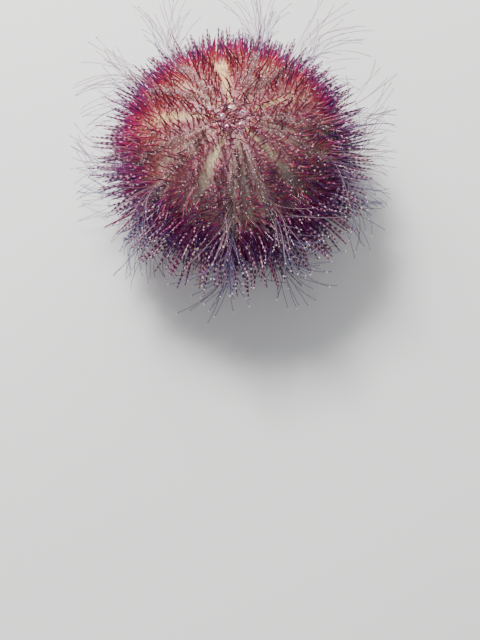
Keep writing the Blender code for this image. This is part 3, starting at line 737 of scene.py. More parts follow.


# Spine colours from root to tip, each in a copy with painted sunlight for the far side and one with
# painted shade for the near side.
SUNLIT_FAR_SPINE = ((0.0, (226, 156, 126)), (0.20, (212, 112, 98)), (0.38, (190, 50, 74)),
             (0.58, (146, 12, 66)), (0.80, (92, 4, 56)), (1.0, (54, 2, 42)))
SHADED_NEAR_SPINE = ((0.0, (190, 136, 136)), (0.20, (180, 100, 110)), (0.38, (162, 42, 86)),
              (0.58, (108, 12, 84)), (0.80, (72, 8, 72)), (1.0, (44, 4, 58)))
SUNLIT_FAR_FLANK_SPINE = ((0.0, (244, 136, 112)), (0.25, (232, 76, 116)), (0.55, (204, 44, 126)),
                   (0.8, (156, 34, 118)), (1.0, (104, 24, 104)))
SHADED_NEAR_FLANK_SPINE = ((0.0, (196, 106, 138)), (0.25, (170, 66, 130)), (0.55, (132, 34, 124)),
                    (0.8, (86, 22, 112)), (1.0, (48, 14, 86)))
BOSS = (166, 108, 108)

# Where the flank's colours start and end, on the shaded near and the sunlit far side, and up to
# where the bosses show.
FLANK_STARTS, FLANK_ENDS = (0.32, 0.23), (0.47, 0.41)
BOSSES_END = (0.42, 0.3)
BOSS_REACH = (0.55, 0.25)


def add_grain(tree, shader, smooth, rough, depth):
    """Fine grain on a hard surface: its roughness between two values, and a slight unevenness."""
    grain = mottle(tree, coarse=1600.0, fine=5200.0)
    tree.links.new(between(tree, grain, smooth, rough), shader.inputs["Roughness"])
    add_bump(tree, shader, grain, strength=0.6, depth=depth)


def shifted_share(tree, least, most):
    """The share of the way along a spine, moved by a chance of its own so that no two match."""
    return math_node(tree, "ADD", attribute(tree, "share"),
                     between(tree, attribute(tree, "chance"), least, most))


def short_spine_material():
    """Orange at the root, red along the shaft and nearly black at the tip, more violet lower, with
    painted shade on the near side and painted sunlight on the far side.
    """
    made, tree, shader = new_material("short_spine", 0.30, Coat_Weight=0.35, Coat_Roughness=0.12)
    add_grain(tree, shader, smooth=0.22, rough=0.42, depth=0.03 * MM)
    shifted = shifted_share(tree, least=-0.24, most=0.34)
    far = sunlit_side(tree)
    level = attribute(tree, "level")
    low = stretch(tree, level, between(tree, far, *FLANK_STARTS), between(tree, far, *FLANK_ENDS))
    # Painted shade on the near side blended into painted sunlight on the far side.
    colour = blend_colours(tree, low, blended_ramps(tree, far, shifted, SHADED_NEAR_SPINE, SUNLIT_FAR_SPINE),
                           blended_ramps(tree, far, shifted, SHADED_NEAR_FLANK_SPINE, SUNLIT_FAR_FLANK_SPINE))
    boss = times(tree, stretch(tree, attribute(tree, "collar"), *BOSS_REACH),
                 stretch(tree, level, *BOSSES_END))
    paint(tree, shader, blend_colours(tree, boss, colour, linear(BOSS)))
    return made


SHORT_FINISH = short_spine_material()
draw = np.random.default_rng(4)
roots = sown_roots(10.0, 104.0, SPINE_ROW, SPINE_STEP, jitter=0.22, draw=draw)
roots = standing(roots, share=1.0, draw=draw)
add_spines((("upper_spines", 0.0, 60.0), ("flank_spines", 60.0, 82.0), ("rim_spines", 82.0, 110.0)),
           roots, usual_ways(roots, spread=0.19, draw=draw),
           at_latitude(SHORT_LENGTHS, roots[0]) * MM, at_latitude(SHORT_WIDTHS, roots[0]) * MM,
           BOSSED_SPINE, 5, SHORT_FINISH, draw)

# The spines that cross over the apical disc. They are of the same kind, a little shorter and
# finer, and lie at all angles.

CROSSING_SPINES = 84
CROSSING_AT = (3.5, 13.0)
CROSSING_TURN = 75.0
CROSSING_RISES = (14.0, 52.0)
CROSSING_LENGTHS = (3.2, 4.8)
CROSSING_WIDTH = 0.44 * MM

roots = (draw.uniform(*CROSSING_AT, CROSSING_SPINES), draw.uniform(0.0, 360.0, CROSSING_SPINES))
ways = heading(roots[1] + draw.normal(0.0, CROSSING_TURN, CROSSING_SPINES),
               draw.uniform(*CROSSING_RISES, CROSSING_SPINES))
add_spines((("apical_spines", 0.0, 180.0),), roots, ways,
           draw.uniform(*CROSSING_LENGTHS, CROSSING_SPINES) * MM,
           np.full(CROSSING_SPINES, CROSSING_WIDTH), BOSSED_SPINE, 5, SHORT_FINISH, draw,
           ["apical_disc"])

# The long spines of the sides and the underside. They are the stoutest, violet red at the root
# and then ringed all the way out, pale rose over maroon. The animal stands on the lowest, whose
# ends are worn blunt.

LONG_LENGTHS = ((64, 9.0), (76, 12.5), (88, 15.5), (102, 17.0), (122, 17.0), (140, 14.0),
                (168, 7.0))
LONG_WIDTHS = ((64, 0.78), (76, 0.92), (102, 1.04), (140, 1.0), (168, 0.75))
LONG_ROW = 3.3 * MM
LONG_STEP = 3.5 * MM
LONG_SHARES = (0.74, 1.0)
LONG_SHAFT = ((0.0, 0.25, 0.97), (0.0, 0.5, 0.90), (0.0, 0.75, 0.74), (0.0, 0.93, 0.55),
              (0.0, 1.0, 0.38))
LONG_SPINE = ((-1.4, 0.0, 1.9), (0.3, 0.0, 1.6), (0.7, 0.0, 0.9), (1.2, 0.0, 1.3),
              (1.8, 0.0, 1.0)) + LONG_SHAFT

# The rings, in mm along the spine, and as shares of a period. Some spines' are fainter.
BAND_PERIOD = 2.5
BAND_CLOSING = 0.030
BAND_STARTS = (2.8, 5.6)
BAND_BEGINS = 0.3
BAND_EDGE = (0.24, 0.17)
FAINTEST_BAND = 0.25
FAINT_BANDS = 0.7
SECOND_CHANCE = 7.3
PALE_BAND = ((0.0, (228, 158, 186)), (0.5, (238, 190, 202)), (0.85, (242, 208, 210)),
             (1.0, (236, 210, 160)))
DARK_BAND = ((0.0, (124, 14, 80)), (0.5, (88, 16, 84)), (1.0, (56, 18, 80)))
LONG_SPINE_ROOT = ((0.0, (160, 14, 100)), (0.5, (112, 12, 104)), (1.0, (70, 14, 94)))


def banded_spine_material():
    """Plain violet red near the root, then pale rings over maroon all the way to the tip.

    At d mm past the first ring, d / period * (1 + closing * d) rings are passed, so they close up.
    """
    made, tree, shader = new_material("banded_spine", 0.28, Coat_Weight=0.35, Coat_Roughness=0.12)
    add_grain(tree, shader, smooth=0.20, rough=0.40, depth=0.04 * MM)
    chance = attribute(tree, "chance")
    past = math_node(tree, "SUBTRACT", attribute(tree, "along"),
                     between(tree, chance, *BAND_STARTS))
    closing = add_node(tree, "ShaderNodeMath", {0: past, 1: BAND_CLOSING, 2: 1.0},
                       operation="MULTIPLY_ADD").outputs[0]
    passed = times(tree, math_node(tree, "DIVIDE", past, BAND_PERIOD), closing)
    off_edge = math_node(tree, "SUBTRACT", math_node(tree, "FRACT", passed), 0.5)
    ring = stretch(tree, math_node(tree, "ABSOLUTE", off_edge), *BAND_EDGE)
    begun = stretch(tree, passed, 0.0, BAND_BEGINS)
    other_chance = math_node(tree, "FRACT", times(tree, chance, SECOND_CHANCE))
    clearness = stretch(tree, other_chance, 0.0, FAINT_BANDS, FAINTEST_BAND, 1.0)
    pale = times(tree, ring, times(tree, begun, clearness))
    dark = blended_ramps(tree, begun, chance, LONG_SPINE_ROOT, DARK_BAND)
    paint(tree, shader, blend_colours(tree, pale, dark, ramp(tree, chance, PALE_BAND)))
    return made


roots = sown_roots(66.0, 166.0, LONG_ROW, LONG_STEP, jitter=0.32, draw=draw)
ways = usual_ways(roots, spread=0.11, draw=draw, lean=0.35)
lengths = at_latitude(LONG_LENGTHS, roots[0]) * MM * draw.uniform(*LONG_SHARES, len(roots[0]))
add_spines((("banded_spines", 0.0, 180.0),), roots, ways, lengths,
           at_latitude(LONG_WIDTHS, roots[0]) * MM, LONG_SPINE, 6, banded_spine_material(), draw)

# The fine spines. They are of the same lime, shorter and without rings, and fill the ground
# between the others. They are rosy on top and violet lower down.

FINE_LENGTHS = ((8, 1.3), (60, 1.9), (100, 3.4), (168, 3.0))
FINE_WIDTHS = ((8, 0.22), (60, 0.25), (100, 0.32), (168, 0.32))
FINE_STEP = 1.6 * MM
FINE_SPINE = ((-2.0, 0.0, 1.0), (0.6, 0.0, 1.3), (0.0, 0.4, 0.9), (0.0, 0.8, 0.65),
              (0.0, 1.0, 0.3))
FINE_LOW = (0.32, 0.46)
FINE_UPPER = ((0.0, (204, 140, 124)), (0.35, (196, 92, 100)), (0.7, (164, 36, 76)),
              (1.0, (92, 8, 52)))
FINE_LOWER = ((0.0, (150, 16, 84)), (0.5, (120, 14, 92)), (0.85, (150, 70, 120)),
              (1.0, (190, 130, 160)))


def fine_spine_material():
    """Rose to dark red along the spine on top, and violet with paler tips lower down."""
    made, tree, shader = new_material("fine_spine", 0.42, Coat_Weight=0.12, Coat_Roughness=0.2)
    add_grain(tree, shader, smooth=0.35, rough=0.52, depth=0.02 * MM)
    shifted = shifted_share(tree, least=-0.3, most=0.3)
    low = stretch(tree, attribute(tree, "level"), *FINE_LOW)
    paint(tree, shader, blended_ramps(tree, low, shifted, FINE_UPPER, FINE_LOWER))
    return made


roots = sown_roots(9.0, 167.0, FINE_STEP, FINE_STEP, jitter=0.38, draw=draw)
roots = standing(roots, share=0.6, draw=draw)
add_spines((("upper_fine_spines", 0.0, 84.0), ("lower_fine_spines", 84.0, 180.0)), roots,
           usual_ways(roots, spread=0.35, draw=draw), at_latitude(FINE_LENGTHS, roots[0]) * MM,
           at_latitude(FINE_WIDTHS, roots[0]) * MM, FINE_SPINE, 4, fine_spine_material(), draw)

# The pincers. Tiny stalked heads of three jaws, white and about as tall as the fine spines, that
# keep the skin clean. They stand singly all over the shell. Their bright white also stands in for
# small glints on the wet animal, so in part it is a painted highlight.

PINCER_STEP = 2.9 * MM
PINCER_HEIGHTS = ((8, 2.4), (60, 3.6), (100, 4.6), (168, 3.4))
PINCER_STALK = 0.20 * MM
PINCER_SIZES = (0.65, 1.25)
PINCER = ((-2.0, 0.0, 0.8), (0.0, 0.5, 0.6), (0.0, 0.82, 0.7), (0.0, 0.87, 2.0), (0.0, 0.94, 2.2),
          (0.0, 1.0, 1.1))
PINCER_HEAD = (0.80, 0.86)
# The stalk's and the head's colour. The head's bright white is in part a painted highlight.
PINCER_AND_GLINT_COLOURS = (186, 104, 120), (255, 232, 238)


def pincer_material():
    """A dull rose stalk under a glossy white head, whose white is partly a painted highlight."""
    made, tree, shader = new_material("pincer", 0.25, Coat_Weight=0.5, Coat_Roughness=0.08)
    add_grain(tree, shader, smooth=0.18, rough=0.34, depth=0.02 * MM)
    head = stretch(tree, attribute(tree, "share"), *PINCER_HEAD)
    paint(tree, shader, blend_colours(tree, head, *map(linear, PINCER_AND_GLINT_COLOURS)))
    return made


roots = sown_roots(14.0, 164.0, PINCER_STEP, PINCER_STEP, jitter=1.2, draw=draw)
ways = usual_ways(roots, spread=0.45, draw=draw)
widths = PINCER_STALK * draw.uniform(*PINCER_SIZES, len(roots[0]))
add_spines((("pincers", 0.0, 180.0),), roots, ways, at_latitude(PINCER_HEIGHTS, roots[0]) * MM,
           widths, PINCER, 5, pincer_material(), draw)

# The tube feet. Thin water-filled stalks of clear skin that come through pores in two files on
# each ambulacrum, each ending in a white sucker. The lower ones stretch far past the spines, and
# those on top lie short along their file.

# Two files on each ambulacrum. A file's pores stand in triads across it, a little unsettled.
FILE_INSET = 1.4 * MM
FILE_SPREAD = 0.85
FILE_JITTER = 0.5

# A long foot's rise in degrees by latitude, how far it reaches, and how it bends on the way.
FOOT_RISES = ((45, 41), (62, 26), (76, 19), (90, 14), (106, 5), (122, -13), (140, -30))
FOOT_REACH = 63.5 * MM
FOOT_CLIMB = 0.6
FOOT_WANDER = 3.0 * MM
FOOT_BEND = 0.55
FOOT_LEAN = 4.0
BOX_MARGIN = 0.8 * MM
LOWEST_END = 0.8 * MM
LONG_FOOT_RINGS = 10

# The frame's own feet. The last are the steps from foot to foot of reach, splay and climb.
FRAME_FEET_AT = (50.0, 66.0, 80.0, 94.0, 110.0)
FOOT_REACH_SHARES = (0.82, 1.0)
FOOT_SPLAY = (-3.0, 12.0)
FOOT_STEPS = (0.618, 0.755, 0.570)

# The finer feet: between which latitudes and how many stand in each file, and how they lie.
LONG_FEET = (48.0, 138.0, 56)
LONG_FOOT_SHORTENING = 0.32
LONG_FOOT_CROWDING = 1.4
LONG_FOOT_SPLAY = (-8.0, 22.0)
WAVE_SIZE = 2.4 * MM
WAVE_TURN = 5.0
WAVE_STARTS = (0.0, 6.0)
LOWEST_WAVE = 0.6 * MM

SHORT_FEET = (14.0, 78.0, 112)
SHORT_FOOT_RINGS = 6
SHORT_FOOT_LENGTHS = (2.5, 8.0)
SHORT_FOOT_TURN = 2.5
SHORT_FOOT_ROOT = -0.5
SHORT_FOOT_LIFTS = (1.0, 2.8)
LIFT_POWER = 0.7
SHORT_FOOT_SUCKERS = (0.3, 0.4, 0.5, 1.0)

LOWER_FEET = (132.0, 164.0, 34)
LOWER_FOOT_LENGTHS = (6.0, 20.0)
LOWER_FOOT_SPLAY = (-25.0, 35.0)
LOWER_FOOT_WANDER = 2.0 * MM

# The stalks and their suckers, whose rings are (mm beyond the stalk, share of the radius).
FOOT_RADIUS = 0.17 * MM
SHORT_FOOT_RADIUS = 0.21 * MM
FOOT_TAPER = (1.25, 0.85)
FOOT_SINK = 0.4
SUCKER_RADIUS = 0.31 * MM
SUCKER_SIZES = (0.8, 1.15)
SUCKER_RINGS = ((0.02, 0.85), (0.12, 1.0), (0.26, 0.8))
SUCKER_SHARES = (0.99, 1.0, 1.0)
STALK_END = 0.97
LOWEST_SUCKER = 0.5 * MM

# The folds along a stalk, how the hue grows with the latitude and by chance, and where along it
# the stalk grows denser.
FOOT_FOLDS = 70.0
HUE_BY_LEVEL = (0.25, 0.45, 0.0, 0.7)
HUE_BY_CHANCE = 0.3
GROWS_DENSER = (0.25, 0.8)
# Stalk colours with painted sunlight for the far side and painted shade for the near side.
SUNLIT_FAR_STALK = ((0.0, (204, 140, 130)), (0.35, (180, 128, 146)), (1.0, (128, 124, 196)))
SHADED_NEAR_STALK = ((0.0, (192, 152, 140)), (0.35, (116, 92, 114)), (1.0, (84, 80, 136)))
SUCKER = (255, 238, 242)


def file_place(number, latitude, inset):
    """The azimuths of places in the files, an inset in from an ambulacrum's edges, and the side."""
    side = np.where(number % 2, 1.0, -1.0)
    off = AMBULACRUM / 2.0 - np.degrees(inset / shell_outline(latitude)[0])
    return (FIRST_AMBULACRUM + PAIR * (number // 2) + side * off) % 360.0, side


def sown_feet(lines_of, first, last, each, draw):
    """Latitudes, azimuths and curves of feet in the ten files, as many in each, in small triads."""
    number = np.repeat(np.arange(COLUMNS), each)
    travel = np.tile(np.linspace(travel_of(first), travel_of(last), each), COLUMNS)
    latitudes = latitude_of(travel + draw.uniform(-FILE_JITTER, FILE_JITTER, len(travel)) * MM)
    inset = FILE_INSET + (np.tile(np.arange(each), COLUMNS) % 3 - 1) * FILE_SPREAD * MM
    azimuths, side = file_place(number, latitudes, inset)
    return latitudes, azimuths, lines_of(latitudes, azimuths, side, draw)


def foot_curves(latitudes, azimuths, side, reach, splay, wander):
    """Curves root * (1-t)^2 + bend * 2t(1-t) + end * t^2 that leave the shell with a small rise.

    The ends are at the reach from the axis, or as far as the frame's box has room for.
    """
    roots = shell_points(latitudes, azimuths)
    spot = heading(azimuths + side * splay, 0.0)
    room = np.array(CAD_BOX[1])[:2] - BOX_MARGIN - np.abs(np.array(AXIS)[:2])
    reach = np.minimum(reach, (room / np.abs(spot[:, :2])).min(1))
    rise = at_latitude(FOOT_RISES, latitudes)
    ends = spot * reach[:, None]
    climb = (reach - np.hypot(roots[:, 0], roots[:, 1])) * np.tan(np.radians(FOOT_CLIMB * rise))
    ends[:, 2] = np.clip(roots[:, 2] + climb + wander, LOWEST_END, CAD_BOX[1][2] - BOX_MARGIN)
    span = np.linalg.norm(ends - roots, axis=1)
    bends = roots + heading(azimuths + side * FOOT_LEAN, rise) * (FOOT_BEND * span)[:, None]
    t = np.linspace(0.0, 1.0, LONG_FOOT_RINGS)[None, :, None]
    return roots[:, None] * (1 - t) ** 2 + bends[:, None] * 2 * t * (1 - t) + ends[:, None] * t * t


def frame_feet():
    """Latitudes, azimuths and curves of the frame's own fifty long feet, whose reach, splay and
    climb step evenly from foot to foot."""
    number = np.arange(COLUMNS * len(FRAME_FEET_AT))
    latitudes = np.tile(FRAME_FEET_AT, COLUMNS)
    azimuths, side = file_place(number // len(FRAME_FEET_AT), latitudes, FILE_INSET)
    shares = (number[:, None] * np.array(FOOT_STEPS)) % 1.0
    reach = FOOT_REACH * np.interp(shares[:, 0], (0, 1), FOOT_REACH_SHARES)
    splay = np.interp(shares[:, 1], (0, 1), FOOT_SPLAY)
    wander = (2.0 * shares[:, 2] - 1.0) * FOOT_WANDER
    return latitudes, azimuths, foot_curves(latitudes, azimuths, side, reach, splay, wander)


def long_foot_lines(latitudes, azimuths, side, draw):
    """Curves of feet of all lengths, with a slow wave on each, sin(turn * t + start) * t(1-t)."""
    count = len(latitudes)
    reach = FOOT_REACH * (1.0 - LONG_FOOT_SHORTENING * draw.random(count) ** LONG_FOOT_CROWDING)
    splay, wander = draw.uniform(*LONG_FOOT_SPLAY, count), draw.normal(0, FOOT_WANDER, count)
    lines = foot_curves(latitudes, azimuths, side, reach, splay, wander)
    t = np.linspace(0.0, 1.0, LONG_FOOT_RINGS)[None, :, None]
    wave = np.sin(WAVE_TURN * t + draw.uniform(*WAVE_STARTS, (count, 1, 1)))
    lines = lines + wave * t * (1 - t) * draw.normal(0, WAVE_SIZE, (count, 1, 3))
    lines[..., 2] = np.maximum(lines[..., 2], LOWEST_WAVE)
    return lines


def short_foot_lines(latitudes, azimuths, side, draw):
    """Curves that follow the shell outwards from the top and lift off it by t^(lift power)."""
    count = len(latitudes)
    t = np.linspace(0.0, 1.0, SHORT_FOOT_RINGS)[None, :]
    lengths = draw.uniform(*SHORT_FOOT_LENGTHS, count)[:, None] * MM
    latitude = latitude_of(travel_of(latitudes)[:, None] + lengths * t)
    turn = draw.normal(0.0, SHORT_FOOT_TURN, count) + side
    climb = draw.uniform(*SHORT_FOOT_LIFTS, count)[:, None] - SHORT_FOOT_ROOT
    lift = (SHORT_FOOT_ROOT + climb * t**LIFT_POWER) * MM
    return shell_points(latitude, azimuths[:, None] + turn[:, None] * t, lift)


def lower_foot_lines(latitudes, azimuths, side, draw):
    """Curves that lead out from round the mouth, between the shell and the floor."""
    count = len(latitudes)
    reach = shell_outline(latitudes)[0] + draw.uniform(*LOWER_FOOT_LENGTHS, count) * MM
    return foot_curves(latitudes, azimuths, side, reach, draw.uniform(*LOWER_FOOT_SPLAY, count),
                       draw.normal(0.0, LOWER_FOOT_WANDER, count))


def foot_mesh(name, roots, lines, radius, sucker, sides, draw):
    """The stalks, sunk a little at the root, each with three rings of its sucker beyond the end."""
    count, rings = lines.shape[:2]
    first = lines[:, 1] - lines[:, 0]
    lines[:, 0] -= FOOT_SINK * first * (MM / np.linalg.norm(first, axis=1))[:, None]
    last = lines[:, -1] - lines[:, -2]
    last /= np.linalg.norm(last, axis=1, keepdims=True)
    steps, widths = np.array(SUCKER_RINGS).T
    beyond = lines[:, -1:] + last[:, None] * (steps * MM)[None, :, None]
    lines = np.concatenate([lines, beyond], axis=1)
    lines[..., 2] = np.maximum(lines[..., 2], LOWEST_SUCKER)
    stalks = np.tile(np.linspace(*FOOT_TAPER, rings) * radius, (count, 1))
    radii = np.concatenate([stalks, sucker[:, None] * widths[None]], axis=1)
    shares = np.concatenate([np.linspace(0.0, STALK_END, rings), SUCKER_SHARES])
    return rods_mesh(name, lines, radii, np.tile(shares, (count, 1)), np.ones(count), roots,
                     sides, draw, tall=3.0)


def tube_foot_material(name, root, end):
    """Clear lilac stalks with fine rings of muscle, and white suckers at the far end of the share.

    The stalks are clearest at the root, where they are stretched thin, with the alphas given for
    root and end, and bluer the further out they stand. They are painted darker with shade on the
    near side and lighter with sunlight on the far side.
    """
    made, tree, shader = new_material(name, 0.38, Coat_Weight=0.06, Coat_Roughness=0.12)
    share = attribute(tree, "share")
    folds = math_node(tree, "SINE", times(tree, share, FOOT_FOLDS * 2.0 * math.pi))
    add_bump(tree, shader, folds, strength=0.5, depth=0.03 * MM)
    sucker = stretch(tree, share, STALK_END, SUCKER_SHARES[0])
    hue = math_node(tree, "ADD", stretch(tree, attribute(tree, "level"), *HUE_BY_LEVEL),
                    between(tree, attribute(tree, "chance"), 0.0, HUE_BY_CHANCE))
    # Painted shade on the near side's stalks, painted sunlight on the far side's.
    stalk = blended_ramps(tree, sunlit_side(tree), hue, SHADED_NEAR_STALK, SUNLIT_FAR_STALK)
    paint(tree, shader, blend_colours(tree, sucker, stalk, linear(SUCKER)))
    body = stretch(tree, share, *GROWS_DENSER, root, end)
    tree.links.new(math_node(tree, "MAXIMUM", body, sucker), shader.inputs["Alpha"])
    return made


feet = (sown_feet(long_foot_lines, *LONG_FEET, draw),
        sown_feet(lower_foot_lines, *LOWER_FEET, draw), frame_feet())
*roots, lines = map(np.concatenate, zip(*feet))
suckers = SUCKER_RADIUS * draw.uniform(*SUCKER_SIZES, len(lines))
add_piece(foot_mesh("tube_feet", roots, lines, FOOT_RADIUS, suckers, 5, draw),
          tube_foot_material("tube_foot", root=0.07, end=0.44), WEDGES)

*roots, lines = sown_feet(short_foot_lines, *SHORT_FEET, draw)
suckers = SUCKER_RADIUS * draw.choice(SHORT_FOOT_SUCKERS, len(lines))
add_piece(foot_mesh("upper_tube_feet", roots, lines, SHORT_FOOT_RADIUS, suckers, 4, draw),
          tube_foot_material("short_tube_foot", root=0.20, end=0.30), WEDGES)

# The mouth. A soft folded skin from the shell's edge to a lip, ten short stout feet in pairs on
# it, and in the middle the tips of five hard white teeth that close to a point.

MOUTH_PROFILE = ((9.9, 12.2), (9.6, 11.2), (8.4, 10.75), (7.0, 10.6), (5.4, 10.6), (4.4, 10.0),
                 (3.7, 9.65), (3.2, 9.75), (2.9, 10.3), (2.6, 11.2), (1.6, 12.4), (0.3, 12.8))
MOUTH_SIDES = 200
MOUTH_RINGS = 70
THROAT = 12.9 * MM
FOLDS = 44
FOLD_WAVER = 3.0
BROAD_FOLDS = 17
BROAD_FOLD = 0.4
FOLD_HEIGHT = 0.16 * MM
FOLDS_DEEPEN = (9.0 * MM, 4.0 * MM)
FOLDS_END = (0.5 * MM, 3.0 * MM)
MOUTH_BLUR = np.array([1.0, 2.0, 3.0, 2.0, 1.0]) / 9.0
MOUTH_WANDER = 0.14
# The skin's colours from the shell's edge inwards. The darkening after the lip is painted shade
# inside the throat.
MOUTH_SKIN_AND_THROAT_SHADE = ((0.0, (150, 60, 66)), (0.3, (176, 108, 92)), (0.55, (196, 140, 120)),
                 (0.72, (214, 176, 160)), (0.85, (110, 40, 56)), (1.0, (40, 10, 20)))

# A tooth's root and tip as (mm from the axis, height in mm), and its half width and half depth at
# the root with what each loses on the way to the tip.
TOOTH_ROOT = (1.7, 12.0)
TOOTH_TIP = (0.30, 8.0)
TOOTH_RINGS = 12
TOOTH_SIDES = 12
TOOTH_BULGE = 0.25
TOOTH_WIDTH = (0.62, 0.36)
TOOTH_DEPTH = (0.34, 0.28)
TOOTH_POINT = 0.05 * MM
TOOTH_LATITUDE = 170.0
TOOTH_COLOURS = ((0.0, (214, 196, 160)), (0.6, (244, 238, 222)), (1.0, (255, 252, 244)))

BUCCAL_FEET = 10
BUCCAL_SPREAD = 11.0
BUCCAL_LATITUDE = 172.0
BUCCAL_DISTANCE = 6.5 * MM
BUCCAL_LEVEL = 10.7 * MM
BUCCAL_RISES = (-72.0, -48.0)
BUCCAL_LENGTH = 3.0
BUCCAL_RADIUS = 0.42
BUCCAL_SIDES = 14
BUCCAL_FOOT = ((-2.0, 0.0, 1.1), (0.0, 0.3, 1.0), (0.0, 0.7, 0.9), (0.0, 0.85, 1.0),
               (0.0, 0.9, 1.7), (0.0, 1.0, 1.6))


def mouth_mesh():
    """The profile turned round the axis, with folds cos(n a) that deepen towards the lip."""
    steps = np.linspace(0.0, len(MOUTH_PROFILE) - 1.0, MOUTH_RINGS)
    corners = np.arange(len(MOUTH_PROFILE))
    lines = [np.interp(steps, corners, line) for line in np.array(MOUTH_PROFILE).T * MM]
    radius, height = [np.convolve(np.pad(line, 2, mode="edge"), MOUTH_BLUR, "valid")[:, None]
                      for line in lines]
    turns = -np.arange(MOUTH_SIDES)[None] * 2.0 * math.pi / MOUTH_SIDES
    depth = FOLD_HEIGHT * smooth_step(*FOLDS_DEEPEN, radius) * smooth_step(*FOLDS_END, radius)
    waves = (np.cos(FOLDS * turns + FOLD_WAVER * np.sin(radius / MM))
             + BROAD_FOLD * np.cos(BROAD_FOLDS * turns))
    rings = np.stack([radius * np.cos(turns), radius * np.sin(turns), height + depth * waves],
                     axis=-1)
    return ringed_mesh("mouth_membrane", rings[None], np.array([[0.0, 0.0, THROAT]]), whole_cell,
                       {"share": steps / steps[-1]})


def mouth_material():
    """Tan skin, paler at the lip and painted dark with shade in the throat, with a fine unevenness.
    """
    made, tree, shader = new_material("mouth_membrane", 0.35, Coat_Weight=0.5, Coat_Roughness=0.15)
    share = math_node(tree, "ADD", attribute(tree, "share"),
                      times(tree, mottle(tree, coarse=250.0, fine=1400.0), MOUTH_WANDER))
    paint(tree, shader, ramp(tree, share, MOUTH_SKIN_AND_THROAT_SHADE))
    add_bump(tree, shader, mottle(tree, coarse=900.0, fine=3000.0), strength=0.5, depth=0.15 * MM)
    return made


def teeth_mesh():
    """Five chisels: rounded boxes carried from root to tip, narrowing to an edge.

    A rounded box has the square roots of the cosine and the sine of a turn, with their signs.
    """
    t = np.linspace(0.0, 1.0, TOOTH_RINGS)[None, :, None]
    turns = (np.arange(TOOTH_SIDES) * 2.0 * math.pi / TOOTH_SIDES)[None, None]
    angle = np.radians(interambulacra)[:, None, None]
    wide, deep = [np.sign(wave) * np.abs(wave) ** 0.5 for wave in (np.cos(turns), np.sin(turns))]
    radius, height = [root + (tip - root) * t for root, tip in zip(TOOTH_ROOT, TOOTH_TIP)]
    across = wide * (TOOTH_WIDTH[0] - TOOTH_WIDTH[1] * t**2) + 0.0 * angle
    depth = deep * (TOOTH_DEPTH[0] - TOOTH_DEPTH[1] * t**1.5)
    out = radius + TOOTH_BULGE * np.sin(math.pi * t) + depth
    rings = np.stack([out * np.cos(angle) - across * np.sin(angle),
                      out * np.sin(angle) + across * np.cos(angle),
                      height + 0.0 * across], axis=-1) * MM
    tips = rings[:, -1].mean(1) - np.array([0.0, 0.0, TOOTH_POINT])
    cells = root_cells(np.full(5, TOOTH_LATITUDE), interambulacra % 360.0, tall=1.0)
    return ringed_mesh("teeth", rings, tips, cells,
                       {"share": np.tile(np.linspace(0.0, 1.0, TOOTH_RINGS), (5, 1))})


def tooth_material():
    """Hard glossy white, yellower at the root."""
    made, tree, shader = new_material("teeth", 0.25, Coat_Weight=0.6, Coat_Roughness=0.08)
    add_grain(tree, shader, smooth=0.15, rough=0.35, depth=0.03 * MM)
    paint(tree, shader, ramp(tree, attribute(tree, "share"), TOOTH_COLOURS))
    return made


add_piece(mouth_mesh(), mouth_material(), ["mouth_membrane"])
add_piece(teeth_mesh(), tooth_material(), ["lantern_teeth"])

azimuths = np.concatenate([ambulacra - BUCCAL_SPREAD, ambulacra + BUCCAL_SPREAD])
starts = BUCCAL_DISTANCE * heading(azimuths, 0.0) + np.array([0.0, 0.0, BUCCAL_LEVEL])
ways = heading(azimuths, draw.uniform(*BUCCAL_RISES, BUCCAL_FEET))
by_radius, by_length, widths = np.array(BUCCAL_FOOT).T
along = np.tile(by_radius * BUCCAL_RADIUS * MM + by_length * BUCCAL_LENGTH * MM, (BUCCAL_FEET, 1))
radii = np.tile(widths * BUCCAL_RADIUS * MM, (BUCCAL_FEET, 1))
buccal_mesh = rods_mesh("buccal_feet", starts[:, None] + ways[:, None] * along[..., None], radii,
                        along, np.full(BUCCAL_FEET, BUCCAL_LENGTH * MM),
                        (np.full(BUCCAL_FEET, BUCCAL_LATITUDE), azimuths % 360.0),
                        BUCCAL_SIDES, draw, tall=1.0)
add_piece(buccal_mesh, tube_foot_material("buccal_foot", root=0.75, end=0.85),
          ["mouth_membrane"])

# The floor, the light and the camera. The floor is plain and pale, three soft lamps stand round
# the urchin with the strongest behind on the left, and the camera looks down at 62 degrees.

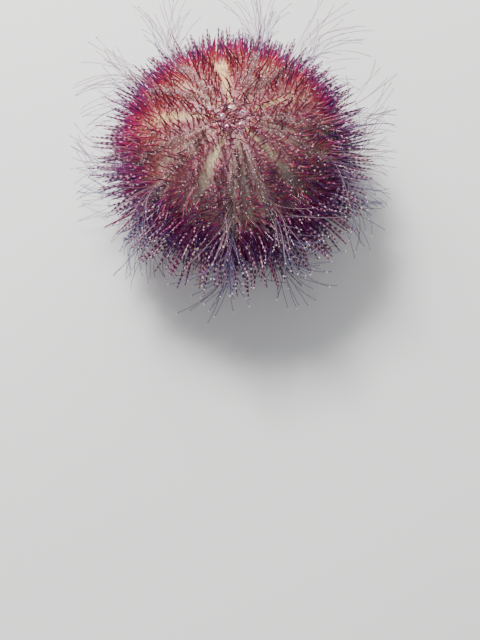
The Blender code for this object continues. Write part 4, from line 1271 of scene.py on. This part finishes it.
FLOOR_HALF = 3.0
FLOOR = (244, 242, 238)
SKY = (214, 220, 230)
SKY_STRENGTH = 0.46
LAMPS = (("key", (-0.31, 0.57, 0.67), 0.28, 18.5), ("fill", (-0.3, -0.85, 0.6), 0.7, 2.8),
         ("back", (0.3, 0.9, 0.5), 0.6, 2.4))
LAMPS_AIM = Vector((0.0, 0.0, 0.03))

floor_mesh = bpy.data.meshes.new("floor")
corners = [(x * FLOOR_HALF, y * FLOOR_HALF, 0.0) for x, y in ((-1, -1), (1, -1), (1, 1), (-1, 1))]
floor_mesh.from_pydata(corners, [], [(0, 1, 2, 3)])
floor_material, _, floor_shader = new_material("floor", 0.7)
floor_shader.inputs["Base Color"].default_value = linear(FLOOR)
floor_mesh.materials.append(floor_material)
new_object("floor", floor_mesh)

for name, place, size, power in LAMPS:
    light = bpy.data.lights.new(name, "AREA")
    light.size = size
    light.energy = power
    lamp = new_object(name, light)
    lamp.location = place
    lamp.rotation_euler = (LAMPS_AIM - Vector(place)).to_track_quat("-Z", "Y").to_euler()
world = bpy.data.worlds.new("studio")
world.use_nodes = True
world.node_tree.nodes["Background"].inputs["Color"].default_value = linear(SKY)
world.node_tree.nodes["Background"].inputs["Strength"].default_value = SKY_STRENGTH
bpy.context.scene.world = world

IMAGE = (480.0, 640.0)
METRES_PER_PIXEL = 0.38 * MM
CAMERA_RISE = 62.0
CAMERA_TURN = 3.0
LENS = 90.0
SENSOR = 36.0
URCHIN_PIXEL = (235.0, 153.0)

distance = METRES_PER_PIXEL * IMAGE[1] * LENS / SENSOR
centre = AXIS + Vector((0.0, 0.0, WIDEST_LEVEL))
back = Vector(heading(CAMERA_TURN - 90.0, CAMERA_RISE))
right = Vector(heading(CAMERA_TURN, 0.0))
up = back.cross(right)
aim = (centre + right * (IMAGE[0] / 2.0 - URCHIN_PIXEL[0]) * METRES_PER_PIXEL
       - up * (IMAGE[1] / 2.0 - URCHIN_PIXEL[1]) * METRES_PER_PIXEL)
lens = bpy.data.cameras.new("camera")
lens.lens = LENS
lens.sensor_width = SENSOR
camera = new_object("camera", lens)
camera.location = centre + back * distance
camera.rotation_euler = (camera.location - aim).to_track_quat("Z", "Y").to_euler()
bpy.context.scene.camera = camera
